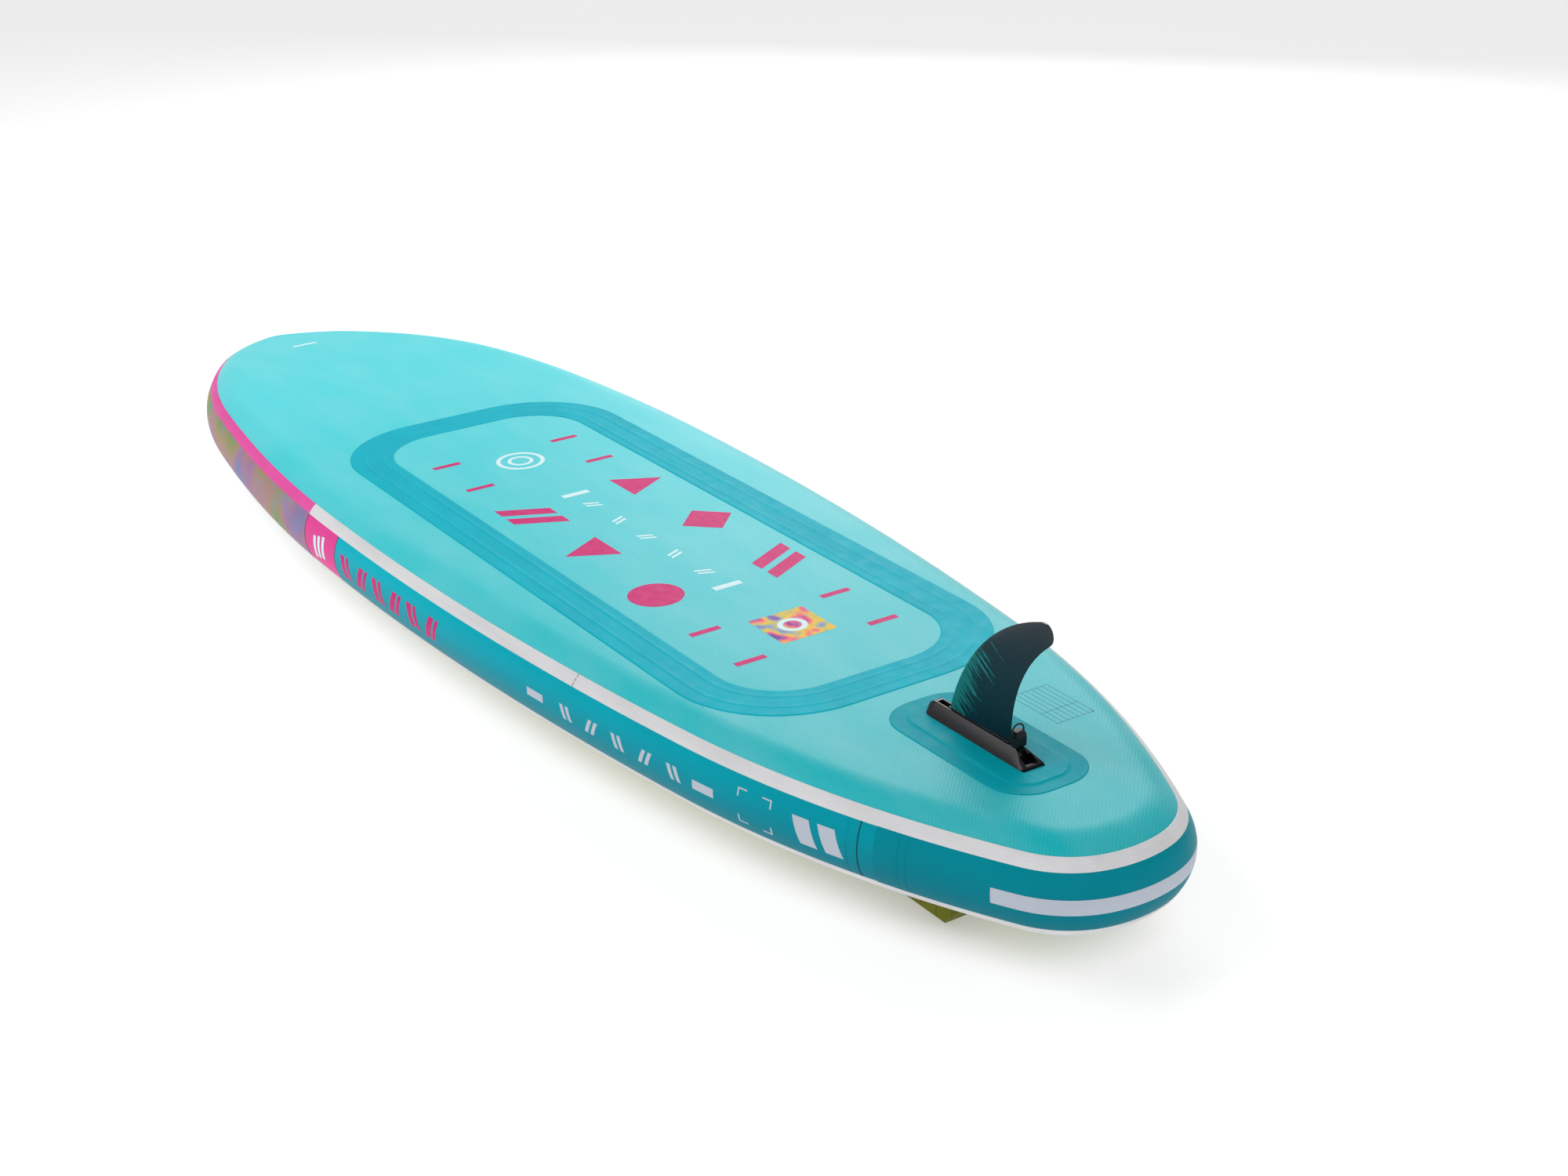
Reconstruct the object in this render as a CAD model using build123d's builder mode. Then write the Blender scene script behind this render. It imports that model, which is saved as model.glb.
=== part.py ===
"""Inflatable stand up paddleboard, lying deck down with its hull and fin up.

Frame, in millimetres: +X runs to the nose, +Y to the board's right as it lies, +Z up out of the hull.
The origin is on the floor, under the middle of the board's length.
Every section of the board is upright, so the nose rocker shifts a piece down without tilting it.
"""

import math
import os

from build123d import *

# Board
LENGTH = 2970.0
WIDTH = 810.0
THICKNESS = 150.0
FABRIC = 1.2
BAND = 1.0
TAIL = -LENGTH / 2
NOSE = LENGTH / 2
RAIL_R = THICKNESS / 2
ROCKER_START = TAIL + 2150
ROCKER_DROP = 63.0
ROCKER_R = ((NOSE - ROCKER_START) ** 2 + ROCKER_DROP**2) / (2 * ROCKER_DROP)

# Deck pad and the wedge that the board lies on
PAD = 6.0
KICK_HEIGHT = 46.0
MID_Z = RAIL_R + PAD + KICK_HEIGHT
HULL_Z = MID_Z + RAIL_R
DECK_Z = MID_Z - RAIL_R
PAD_REAR, PAD_FRONT, PAD_WIDTH = TAIL + 110, TAIL + 2060, 590.0
KICK_REAR, KICK_FRONT = TAIL + 212, TAIL + 610
KICK_BASE_W, KICK_TOP_W = 356.0, 268.0

# Plan outline: radius and sweep of each arc from an end's tip to the board's widest point
NOSE_ARCS = [(97.0, 29.7), (358.0, 29.7), (1327.0, 20.2)]
TAIL_ARCS = [(214.0, 14.7), (154.0, 48.0), (1768.0, 18.9)]

# Rail pieces and edge bands
NOSE_SEAM = TAIL + 1815
TAIL_SEAM = TAIL + 330
BAND_INNER, BAND_OUTER, JOINT_ANGLE = 50.6, 34.1, 42.3
SHEET_GAP = 0.2

# Inner chamber
RING_X = TAIL + 1283.5
RING_OUTER = (1484.0, 538.0, 182.0)
RING_INNER = (1329.0, 382.0, 113.0)
WALL_LINE = (1406.0, 460.0, 148.0)
THREAD_R = 1.5
THREAD_PITCH = 130.0

# Fin, its box and its patch
PATCH_X, PATCH_SIZE = TAIL + 338, (322.0, 160.0, 62.0)
BOX_REAR, BOX_FRONT = TAIL + 243, TAIL + 462
BOX_W, BOX_H = 36.0, 21.0
CHANNEL_W, CHANNEL_LOW, CHANNEL_HIGH = 20.6, 5.0, 14.6
SLOT_W = 9.4
FOOT_REAR, FOOT_FRONT = TAIL + 286, TAIL + 444
PLAY = 0.3
FIN_HEIGHT = 223.0
CLIP_X = TAIL + 272

# Carry handle
HANDLE_X = TAIL + 1330
HANDLE_SPAN, HANDLE_SAG, WEBBING_W, WEBBING_T = 250.0, 30.0, 38.0, 2.5
GRIP_LENGTH, GRIP_W, GRIP_T = 120.0, 46.0, 13.0
HANDLE_PATCH = (90.0, 80.0)

# Valves: centre in plan, then sizes shared by both
VALVES = {"main": (TAIL + 2112, -120.0), "inner": (TAIL + 1850, 120.0)}
FLANGE_R, FLANGE_T = 31.0, 3.0
NECK_R, BORE_R, SEAT_R = 20.0, 15.0, 11.0
CUP_DEPTH, SEAT_T = 34.0, 4.0
SPIDER_DEPTH, SPIDER_T, HUB_R = 22.0, 3.0, 7.0
STEM_R, BUTTON_R, BUTTON_T = 4.0, 6.5, 4.0
GUIDE_PLAY = 0.06
PLATE_R = 14.0
CAP_R, CAP_T = 30.0, 7.0
GASKET_T = 1.2
TETHER_R = 34.0

# D-rings on the deck
D_WIRE, D_LOOP_R, D_PATCH_R = 2.5, 15.0, 38.0
TAB_W, TAB_T, TAB_PLAY = 22.0, 1.6, 0.08
TAB_LIFT = 0.1
CARGO_RINGS = {
    "front_left": (TAIL + 2520, 130.0),
    "front_right": (TAIL + 2520, -130.0),
    "rear_left": (TAIL + 2230, 205.0),
    "rear_right": (TAIL + 2230, -205.0),
}
LEASH_RING = (TAIL + 165, 0.0)


def rocker(x):
    """How far the board's middle lies below its level at x, as a negative number."""
    past = max(0.0, x - ROCKER_START)
    return math.sqrt(ROCKER_R**2 - past**2) - ROCKER_R


def slope(x):
    """The rocker's downward angle at x, in degrees."""
    return math.degrees(math.asin(max(0.0, x - ROCKER_START) / ROCKER_R))


def end_arcs(arcs, inset=0.0):
    """Arcs of one end as (centre u, centre w, radius, first angle, sweep), with u in from the tip and w sideways.

    The last arc is worked out so that the board reaches its width where its sides run straight."""
    u = w = angle = 0.0
    found = []
    for radius, sweep in arcs:
        a, b = math.radians(angle), math.radians(angle + sweep)
        centre_u, centre_w = u + radius * math.cos(a), w - radius * math.sin(a)
        found.append((centre_u, centre_w, radius - inset, angle, sweep))
        u, w = centre_u - radius * math.cos(b), centre_w + radius * math.sin(b)
        angle += sweep
    a = math.radians(angle)
    radius = (WIDTH / 2 - w) / (1 - math.sin(a))
    found.append((u + radius * math.cos(a), w - radius * math.sin(a), radius - inset, angle, 90 - angle))
    return found


def draw_outline(inset):
    """Draws the closed plan outline, inset by a distance, in the current line builder."""
    nose, tail = end_arcs(NOSE_ARCS, inset), end_arcs(TAIL_ARCS, inset)
    for side in (1, -1):
        for u, w, radius, first, sweep in nose:
            CenterArc((NOSE - u, side * w), radius, side * first, side * sweep)
        for u, w, radius, first, sweep in tail:
            CenterArc((TAIL + u, side * w), radius, 180 - side * first, -side * sweep)
        y = side * (WIDTH / 2 - inset)
        Line((NOSE - nose[-1][0], y), (TAIL + tail[-1][0], y))


def edge_runs(front, rear):
    """The left rail's centre line from x = front back to x = rear, as arcs and one straight run.

    An arc is (centre x, centre y, radius, first, last), with outward angles in degrees, 90 being sideways.
    The straight run is (None, y, None, from x, to x)."""
    nose, tail = end_arcs(NOSE_ARCS, RAIL_R), end_arcs(TAIL_ARCS, RAIL_R)
    arcs = [(NOSE - u, w, r, first, first + sweep) for u, w, r, first, sweep in nose]
    arcs += [(TAIL + u, w, r, 180 - first - sweep, 180 - first) for u, w, r, first, sweep in reversed(tail)]
    runs = []
    for x, y, radius, first, last in arcs:
        angles = [first, last]
        for i, limit, clip in ((0, front, max), (1, rear, min)):
            cosine = (limit - x) / radius
            if abs(cosine) <= 1:
                angles[i] = clip(angles[i], math.degrees(math.acos(cosine)))
        starts_at = x + radius * math.cos(math.radians(angles[0]))
        ends_at = x + radius * math.cos(math.radians(angles[1]))
        if angles[1] - angles[0] > 0.05 and starts_at < front + 0.01 and ends_at > rear - 0.01:
            runs.append((x, y, radius, *angles))
    straight_from, straight_to = NOSE - nose[-1][0], TAIL + tail[-1][0]
    if rear < straight_from and front > straight_to:
        runs.append((None, WIDTH / 2 - RAIL_R, None, straight_from, straight_to))
    return runs


def section_plane(x, y, outward):
    """Upright plane across the rail at a point of its centre line, its local x outward and its local y up."""
    a = math.radians(outward)
    return Plane(
        origin=(x, y, MID_Z + rocker(x)),
        x_dir=(math.cos(a), math.sin(a), 0),
        z_dir=(math.sin(a), -math.cos(a), 0),
    )


def arc_plane(x, y, radius, outward):
    """The section plane at an outward angle on one arc of the rail's centre line."""
    a = math.radians(outward)
    return section_plane(x + radius * math.cos(a), y + radius * math.sin(a), outward)


def draw_arc_strip(inner, outer, low, high):
    """Draws the edge of the strip between two radii, from one angle to another."""
    CenterArc((0, 0), outer, low, high - low)
    CenterArc((0, 0), inner, low, high - low)
    for angle in (low, high):
        a = math.radians(angle)
        Line((inner * math.cos(a), inner * math.sin(a)), (outer * math.cos(a), outer * math.sin(a)))


def edge_strip(front, rear, inner, outer, low, high):
    """A strip of fabric round the left edge, between two radii and two angles of the rail's section.

    On the flat part of the board each arc is turned, and along the rocker it is lofted."""
    with BuildPart() as strip:
        for x, y, radius, first, last in edge_runs(front, rear):
            if x is None:
                with BuildSketch(section_plane(first, y, 90)):
                    with BuildLine():
                        draw_arc_strip(inner, outer, low, high)
                    make_face()
                extrude(amount=last - first)
            elif x + radius * math.cos(math.radians(first)) <= ROCKER_START:
                with BuildSketch(arc_plane(x, y, radius, first)):
                    with BuildLine():
                        draw_arc_strip(inner, outer, low, high)
                    make_face()
                revolve(axis=Axis((x, y, 0), (0, 0, 1)), revolution_arc=last - first)
            else:
                count = max(4, math.ceil((last - first) * radius / 57.3 / 60))
                for i in range(count + 1):
                    with BuildSketch(arc_plane(x, y, radius, first + (last - first) * i / count)):
                        with BuildLine():
                            draw_arc_strip(inner, outer, low, high)
                        make_face()
                loft()
    return strip


def draw_sheet_side(low, high, rear, front):
    """Draws the side view of a sheet between two heights, following the rocker."""
    for z in (low, high):
        end = (front, z + rocker(front))
        if front > ROCKER_START:
            Line((rear, z), (ROCKER_START, z))
            TangentArc((ROCKER_START, z), end, tangent=(1, 0))
        else:
            Line((rear, z), end)
    Line((rear, low), (rear, high))
    Line((front, low + rocker(front)), (front, high + rocker(front)))


def save(piece, name):
    """Labels a finished piece and writes it as one STEP file."""
    piece.part.label = name
    export_step(piece.part, f"parts/{name}.step")


def make_skins():
    """The hull skin and deck skin, each flat and rolled over the edge to its joint with the rail.

    The flat sheet and the rolled edge are two solids, a hair apart."""
    for name, low, sign in (("hull_skin", HULL_Z - FABRIC, 1), ("deck_skin", DECK_Z, -1)):
        angles = sorted((sign * JOINT_ANGLE, sign * 90))
        rolled = edge_strip(NOSE, TAIL, RAIL_R - FABRIC, RAIL_R, *angles)
        with BuildPart() as skin:
            with BuildSketch(Plane.XZ):
                with BuildLine():
                    draw_sheet_side(low, low + FABRIC, TAIL + RAIL_R, NOSE - RAIL_R)
                make_face()
            extrude(amount=WIDTH / 2, both=True)
            with BuildSketch(Plane.XY.offset(-THICKNESS)):
                with BuildLine():
                    draw_outline(RAIL_R + SHEET_GAP)
                make_face()
            extrude(amount=3 * THICKNESS, mode=Mode.INTERSECT)
            add(rolled.part)
            add(rolled.part.mirror(Plane.XZ))
            if name == "deck_skin":
                with BuildSketch(Plane.XY.offset(DECK_Z - 1)):
                    with Locations(*VALVES.values()):
                        Circle(NECK_R + PLAY)
                extrude(amount=FABRIC + 2, mode=Mode.SUBTRACT)
        save(skin, name)


def make_rails():
    """The four rail strips and the eight edge bands over their joints with the skins."""
    lengths = {"nose": (NOSE, NOSE_SEAM), "side": (NOSE_SEAM, TAIL_SEAM), "tail": (TAIL_SEAM, TAIL)}
    layers = {
        "rail": (RAIL_R - FABRIC, RAIL_R, -JOINT_ANGLE, JOINT_ANGLE),
        "hull_edge_band": (RAIL_R, RAIL_R + BAND, BAND_OUTER, BAND_INNER),
        "deck_edge_band": (RAIL_R, RAIL_R + BAND, -BAND_INNER, -BAND_OUTER),
    }
    for layer, section in layers.items():
        for place, (front, rear) in lengths.items():
            half = edge_strip(front, rear, *section)
            if place == "side":
                save(half, f"{layer}_left")
                with BuildPart() as other:
                    add(half.part.mirror(Plane.XZ))
                save(other, f"{layer}_right")
            else:
                with BuildPart() as whole:
                    add(half.part)
                    add(half.part.mirror(Plane.XZ))
                save(whole, f"{layer}_{place}")


def make_inner_chamber():
    """The seam ring on the hull and the chamber's wall under it."""
    with BuildPart() as ring:
        with BuildSketch(Plane.XY.offset(HULL_Z)):
            with Locations((RING_X, 0)):
                RectangleRounded(*RING_OUTER)
                RectangleRounded(*RING_INNER, mode=Mode.SUBTRACT)
        extrude(amount=BAND)
    save(ring, "chamber_ring_band")

    length, width, radius = WALL_LINE
    with BuildPart() as wall:
        with BuildSketch(Plane.XY.offset(DECK_Z + FABRIC)):
            with Locations((RING_X, 0)):
                RectangleRounded(length, width, radius)
                RectangleRounded(
                    length - 2 * FABRIC, width - 2 * FABRIC, radius - FABRIC, mode=Mode.SUBTRACT
                )
        extrude(amount=THICKNESS - 2 * FABRIC)
    save(wall, "chamber_wall")


def inside_outline(x, y, margin):
    """Whether a point in plan lies inside the board's outline by a margin."""
    for arcs, tip, turn in ((NOSE_ARCS, NOSE, 1), (TAIL_ARCS, TAIL, -1)):
        chain = end_arcs(arcs, RAIL_R + margin)
        away = (tip - x) * turn
        if away < chain[-1][0]:
            for u, w, radius, first, sweep in chain:
                a = math.degrees(math.atan2(abs(y) - w, u - away))
                if first <= a <= first + sweep and math.hypot(abs(y) - w, u - away) < radius:
                    return True
            return False
    return abs(y) < WIDTH / 2 - RAIL_R - margin


def make_threads():
    """Drop stitch threads between the skins, each modelled thread standing for a bundle of them."""
    length, width, _ = WALL_LINE
    inner, outer = [], []
    for i in range(-11, 12):
        for j in range(-2, 3):
            x, y = i * THREAD_PITCH, j * THREAD_PITCH
            in_chamber = abs(x - RING_X) < length / 2 - 25 and abs(y) < width / 2 - 25
            off_chamber = abs(x - RING_X) > length / 2 + 25 or abs(y) > width / 2 + 20
            clear = all(math.dist((x, y), centre) > FLANGE_R + 12 for centre in VALVES.values())
            if in_chamber and clear:
                inner.append((x, y))
            elif off_chamber and clear and inside_outline(x, y, 15):
                outer.append((x, y))
    for name, places in (("inner_drop_threads", inner), ("outer_drop_threads", outer)):
        with BuildPart() as threads:
            with Locations(*[(x, y, MID_Z + rocker(x)) for x, y in places]):
                Cylinder(THREAD_R, THICKNESS - 2 * FABRIC - 0.6)
        save(threads, name)


def make_deck_pads():
    """The grooved foam pad on the deck, and the wedge glued over its rear end."""
    with BuildPart() as pad:
        with BuildSketch(Plane.XZ):
            with BuildLine():
                draw_sheet_side(DECK_Z - PAD, DECK_Z, PAD_REAR, PAD_FRONT)
            make_face()
        extrude(amount=WIDTH / 2, both=True)
        with BuildSketch(Plane.XY.offset(-THICKNESS)):
            with BuildLine():
                draw_outline(RAIL_R + 8)
            make_face()
            with Locations(((PAD_REAR + PAD_FRONT) / 2, 0)):
                RectangleRounded(PAD_FRONT - PAD_REAR, PAD_WIDTH, 120, mode=Mode.INTERSECT)
            with Locations((HANDLE_X, 0)):
                RectangleRounded(HANDLE_SPAN + 150, 100, 40, mode=Mode.SUBTRACT)
            with Locations(VALVES["inner"]):
                Circle(TETHER_R + 12, mode=Mode.SUBTRACT)
            with Locations(LEASH_RING):
                Circle(D_PATCH_R + 6, mode=Mode.SUBTRACT)
        extrude(amount=3 * THICKNESS, mode=Mode.INTERSECT)
    save(pad, "deck_pad")

    low, high = DECK_Z - PAD - KICK_HEIGHT, DECK_Z - PAD
    with BuildPart() as kick:
        with BuildSketch(Plane.XZ):
            with BuildLine():
                Polyline(
                    (KICK_REAR, high),
                    (KICK_REAR + 8, high - 10),
                    (KICK_REAR + 44, low),
                    (KICK_REAR + 118, low),
                )
                ThreePointArc(
                    (KICK_REAR + 118, low), (KICK_REAR + 240, low + 19), (KICK_FRONT, high - 1)
                )
                Polyline((KICK_FRONT, high - 1), (KICK_FRONT, high), (KICK_REAR, high))
            make_face()
        extrude(amount=WIDTH / 2, both=True)
        with BuildSketch(Plane.YZ.offset(KICK_REAR - 1)):
            with BuildLine():
                Polyline(
                    (-KICK_BASE_W / 2, high),
                    (KICK_BASE_W / 2, high),
                    (KICK_TOP_W / 2, low),
                    (-KICK_TOP_W / 2, low),
                    close=True,
                )
            make_face()
        extrude(amount=KICK_FRONT - KICK_REAR + 2, mode=Mode.INTERSECT)
        with BuildSketch(Plane.XY.offset(low - 1)):
            with BuildLine():
                draw_outline(RAIL_R - 8)
            make_face()
            with Locations(((KICK_REAR + KICK_FRONT) / 2, 0)):
                RectangleRounded(KICK_FRONT - KICK_REAR, KICK_BASE_W, 70, mode=Mode.INTERSECT)
        extrude(amount=KICK_HEIGHT + 2, mode=Mode.INTERSECT)
    save(kick, "kick_pad")


def make_fin_mount():
    """The fin's patch on the hull and the moulded box that its foot slides into."""
    with BuildPart() as patch:
        with BuildSketch(Plane.XY.offset(HULL_Z)):
            with Locations((PATCH_X, 0)):
                RectangleRounded(*PATCH_SIZE)
            with Locations(((BOX_REAR + BOX_FRONT) / 2, 0)):
                RectangleRounded(BOX_FRONT - BOX_REAR + 1, BOX_W + 1, 10.5, mode=Mode.SUBTRACT)
        extrude(amount=BAND)
    save(patch, "fin_patch")

    length = BOX_FRONT - BOX_REAR
    middle = (BOX_REAR + BOX_FRONT) / 2
    front_wall = 16
    with BuildPart() as box:
        with BuildSketch(Plane.XY.offset(HULL_Z)):
            with Locations((middle, 0)):
                RectangleRounded(length, BOX_W, 10)
        extrude(amount=BOX_H)
        chamfer(box.faces().sort_by(Axis.Z)[-1].edges(), 2)
        channel = length - front_wall
        with Locations((BOX_REAR + channel / 2, 0, HULL_Z + (CHANNEL_LOW + CHANNEL_HIGH) / 2)):
            Box(channel, CHANNEL_W, CHANNEL_HIGH - CHANNEL_LOW, mode=Mode.SUBTRACT)
        with Locations((BOX_REAR + channel / 2, 0, HULL_Z + CHANNEL_HIGH + BOX_H / 2)):
            Box(channel, SLOT_W, BOX_H, mode=Mode.SUBTRACT)
        with BuildSketch(Plane.XZ):
            with BuildLine():
                Polyline(
                    (BOX_REAR - 1, HULL_Z + 2),
                    (BOX_REAR + 30, HULL_Z + CHANNEL_LOW),
                    (BOX_REAR + 30, HULL_Z + CHANNEL_LOW + 1),
                    (BOX_REAR - 1, HULL_Z + CHANNEL_LOW + 1),
                    close=True,
                )
            make_face()
        extrude(amount=CHANNEL_W / 2, both=True, mode=Mode.SUBTRACT)
    save(box, "fin_box")


def make_fin():
    """The raked fin with its sliding foot, and the clip that locks it in the box."""
    foot_low = HULL_Z + CHANNEL_LOW + PLAY
    foot_high = HULL_Z + CHANNEL_HIGH - PLAY
    root_z = HULL_Z + BOX_H + 1
    tip_z = HULL_Z + FIN_HEIGHT
    root_front, root_rear = TAIL + 420, TAIL + 285
    with BuildPart() as fin:
        with BuildSketch(Plane.XZ):
            with BuildLine():
                Line((root_rear, root_z), (root_front, root_z))
                ThreePointArc((root_front, root_z), (TAIL + 361, HULL_Z + 133), (TAIL + 224, tip_z))
                ThreePointArc((TAIL + 224, tip_z), (TAIL + 203, tip_z - 11), (TAIL + 208, tip_z - 29))
                ThreePointArc((TAIL + 208, tip_z - 29), (TAIL + 265, tip_z - 101), (root_rear, root_z))
            make_face()
        extrude(amount=5, both=True)
        with BuildSketch(Plane.YZ.offset(TAIL)):
            with BuildLine():
                Polyline(
                    (-4.2, root_z - 1), (4.2, root_z - 1), (1.8, tip_z + 1), (-1.8, tip_z + 1), close=True
                )
            make_face()
        extrude(amount=700, mode=Mode.INTERSECT)
        with Locations(((root_rear + root_front) / 2, 0, (foot_high + root_z) / 2)):
            Box(root_front - root_rear, SLOT_W - 2 * PLAY, root_z - foot_high + 0.2)
        with Locations(((FOOT_REAR + FOOT_FRONT) / 2, 0, (foot_low + foot_high) / 2)):
            Box(FOOT_FRONT - FOOT_REAR, CHANNEL_W - 2 * PLAY, foot_high - foot_low)
    save(fin, "fin")

    knob_low, knob_high = HULL_Z + BOX_H + 0.5, HULL_Z + 46
    with BuildPart() as clip:
        with Locations((CLIP_X, 0, (foot_low + knob_low) / 2)):
            Box(18, SLOT_W - 2 * PLAY, knob_low - foot_low + 0.2)
        with BuildSketch(Plane.XZ):
            with Locations((CLIP_X - 1, (knob_low + knob_high) / 2)):
                RectangleRounded(20, knob_high - knob_low, 7)
        extrude(amount=7, both=True)
        with Locations((CLIP_X - 1, 0, knob_high - 8)):
            Cylinder(3.4, 30, rotation=(90, 0, 0), mode=Mode.SUBTRACT)
    save(clip, "fin_clip")

    with BuildPart() as loop:
        with Locations((CLIP_X - 1, 0, knob_high - 8 + 7.6)):
            Torus(9.6, 1.3, rotation=(0, 90, 0))
    save(loop, "fin_clip_loop")


def make_handle():
    """The carry handle under the middle of the deck: webbing, soft grip and two glued patches."""
    half = HANDLE_SPAN / 2
    foot = 40
    top = DECK_Z - BAND
    with BuildPart() as webbing:
        with BuildSketch(Plane.XZ):
            with BuildLine():
                for drop in (0, WEBBING_T):
                    z = top - drop
                    left, right = HANDLE_X - half, HANDLE_X + half
                    Line((left - foot, z), (left, z))
                    ThreePointArc((left, z), (HANDLE_X, z - HANDLE_SAG), (right, z))
                    Line((right, z), (right + foot, z))
                for x in (HANDLE_X - half - foot, HANDLE_X + half + foot):
                    Line((x, top), (x, top - WEBBING_T))
            make_face()
        extrude(amount=WEBBING_W / 2, both=True)
    save(webbing, "handle_webbing")

    radius = (half**2 + HANDLE_SAG**2) / (2 * HANDLE_SAG)
    centre = (HANDLE_X, top - HANDLE_SAG + radius)
    reach = math.degrees(math.asin(GRIP_LENGTH / 2 / radius))
    middle = WEBBING_T / 2
    with BuildPart() as grip:
        with BuildSketch(Plane.XZ):
            with BuildLine():
                for r in (radius + middle - GRIP_T / 2, radius + middle + GRIP_T / 2):
                    CenterArc(centre, r, 270 - reach, 2 * reach)
                for angle in (270 - reach, 270 + reach):
                    a = math.radians(angle)
                    inner, outer = radius + middle - GRIP_T / 2, radius + middle + GRIP_T / 2
                    Line(
                        (centre[0] + inner * math.cos(a), centre[1] + inner * math.sin(a)),
                        (centre[0] + outer * math.cos(a), centre[1] + outer * math.sin(a)),
                    )
            make_face()
        extrude(amount=GRIP_W / 2, both=True)
        add(webbing.part, mode=Mode.SUBTRACT)
    save(grip, "handle_grip")

    with BuildPart() as patches:
        with BuildSketch(Plane.XY.offset(DECK_Z)):
            with Locations(*[(HANDLE_X + side * (half + foot / 2), 0) for side in (1, -1)]):
                RectangleRounded(*HANDLE_PATCH, 14)
        extrude(amount=-BAND)
    save(patches, "handle_patches")


def disc_stack(centre, levels):
    """A round piece made of rings, each given as (inner radius, outer radius, from, to) outward from the deck."""
    with BuildPart() as stack:
        for inner, outer, start, stop in levels:
            with BuildSketch(Plane.XY.offset(DECK_Z - stop)):
                with Locations(centre):
                    Circle(outer)
                    if inner:
                        Circle(inner, mode=Mode.SUBTRACT)
            extrude(amount=stop - start)
    return stack


def make_valve(name, centre):
    """One inflation valve: body, back nut, spring, plunger with its seal, gasket, cap and tether."""
    with BuildPart() as body:
        for inner, outer, start, stop in (
            (BORE_R, FLANGE_R, 0, FLANGE_T),
            (BORE_R, NECK_R, SEAT_T - CUP_DEPTH, 0),
            (SEAT_R, NECK_R, -CUP_DEPTH, SEAT_T - CUP_DEPTH),
        ):
            with BuildSketch(Plane.XY.offset(DECK_Z - stop)):
                with Locations(centre):
                    Circle(outer)
                    Circle(inner, mode=Mode.SUBTRACT)
            extrude(amount=stop - start)
        with BuildSketch(Plane.XY.offset(DECK_Z + SPIDER_DEPTH)):
            with Locations(centre):
                Circle(HUB_R)
                with PolarLocations(BORE_R / 2, 3):
                    Rectangle(BORE_R + 1, 3)
                Circle(STEM_R + GUIDE_PLAY, mode=Mode.SUBTRACT)
        extrude(amount=SPIDER_T)
    save(body, f"{name}_valve_body")

    nut = disc_stack(centre, [(NECK_R + PLAY, FLANGE_R, -FABRIC - 8, -FABRIC)])
    save(nut, f"{name}_valve_nut")

    seal_top, plate_top = -CUP_DEPTH - 2.5, -CUP_DEPTH - 5.5
    plunger = disc_stack(
        centre, [(0, STEM_R, plate_top, -2), (0, BUTTON_R, -2 - BUTTON_T, -2), (0, PLATE_R, plate_top, seal_top)]
    )
    save(plunger, f"{name}_valve_plunger")

    seal = disc_stack(centre, [(STEM_R, PLATE_R, seal_top, -CUP_DEPTH - 0.1)])
    save(seal, f"{name}_valve_seal")

    wire, turns = 0.5, 5
    spring_low, spring_high = -SPIDER_DEPTH + wire + 0.1, -2 - BUTTON_T - wire - 0.1
    with BuildPart() as spring:
        with BuildLine() as coil:
            height = spring_high - spring_low
            Helix(height / turns, height, STEM_R + 1.3, center=(*centre, DECK_Z - spring_high))
        with BuildSketch(Plane(coil.line @ 0, z_dir=coil.line % 0)):
            Circle(wire)
        sweep(is_frenet=True)
    save(spring, f"{name}_valve_spring")

    gasket = disc_stack(centre, [(BORE_R + 0.5, NECK_R, FLANGE_T, FLANGE_T + GASKET_T)])
    save(gasket, f"{name}_valve_gasket")

    base = FLANGE_T + GASKET_T
    with BuildPart() as cap:
        with BuildSketch(Plane.XY.offset(DECK_Z - base - CAP_T)):
            with Locations(centre):
                Circle(CAP_R)
        extrude(amount=CAP_T)
        chamfer(cap.faces().sort_by(Axis.Z)[0].edges(), 1.5)
        with BuildSketch(Plane.XY.offset(DECK_Z - base - CAP_T)):
            with Locations(centre):
                with PolarLocations(CAP_R + 1.2, 18):
                    Circle(2.6)
        extrude(amount=CAP_T, mode=Mode.SUBTRACT)
        with BuildSketch(Plane.XY.offset(DECK_Z - base)):
            with Locations(centre):
                Circle(BORE_R - 0.6)
                Circle(BORE_R - 2.6, mode=Mode.SUBTRACT)
        extrude(amount=base + 1)
        with BuildSketch(Plane.XY.offset(DECK_Z - base - CAP_T)):
            with Locations(centre):
                Circle(20)
                with Locations((0, 0)):
                    Rectangle(36, 7, mode=Mode.SUBTRACT)
        extrude(amount=3, mode=Mode.SUBTRACT)
    save(cap, f"{name}_valve_cap")

    with BuildPart() as tether:
        with BuildSketch(Plane.XY.offset(DECK_Z - 1.6)):
            with Locations(centre):
                Circle(TETHER_R)
                Circle(FLANGE_R + PLAY, mode=Mode.SUBTRACT)
            with Locations((centre[0], centre[1] + TETHER_R + 4)):
                RectangleRounded(9, 12, 3)
        extrude(amount=1.4)
    save(tether, f"{name}_valve_tether")


def deck_plane(x, y):
    """Plane on the deck's outer face at a point, its local z pointing out of the deck and its local x at the nose."""
    a = math.radians(slope(x))
    return Plane(
        origin=(x, y, DECK_Z + rocker(x)),
        x_dir=(math.cos(a), 0, -math.sin(a)),
        z_dir=(-math.sin(a), 0, -math.cos(a)),
    )


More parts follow.
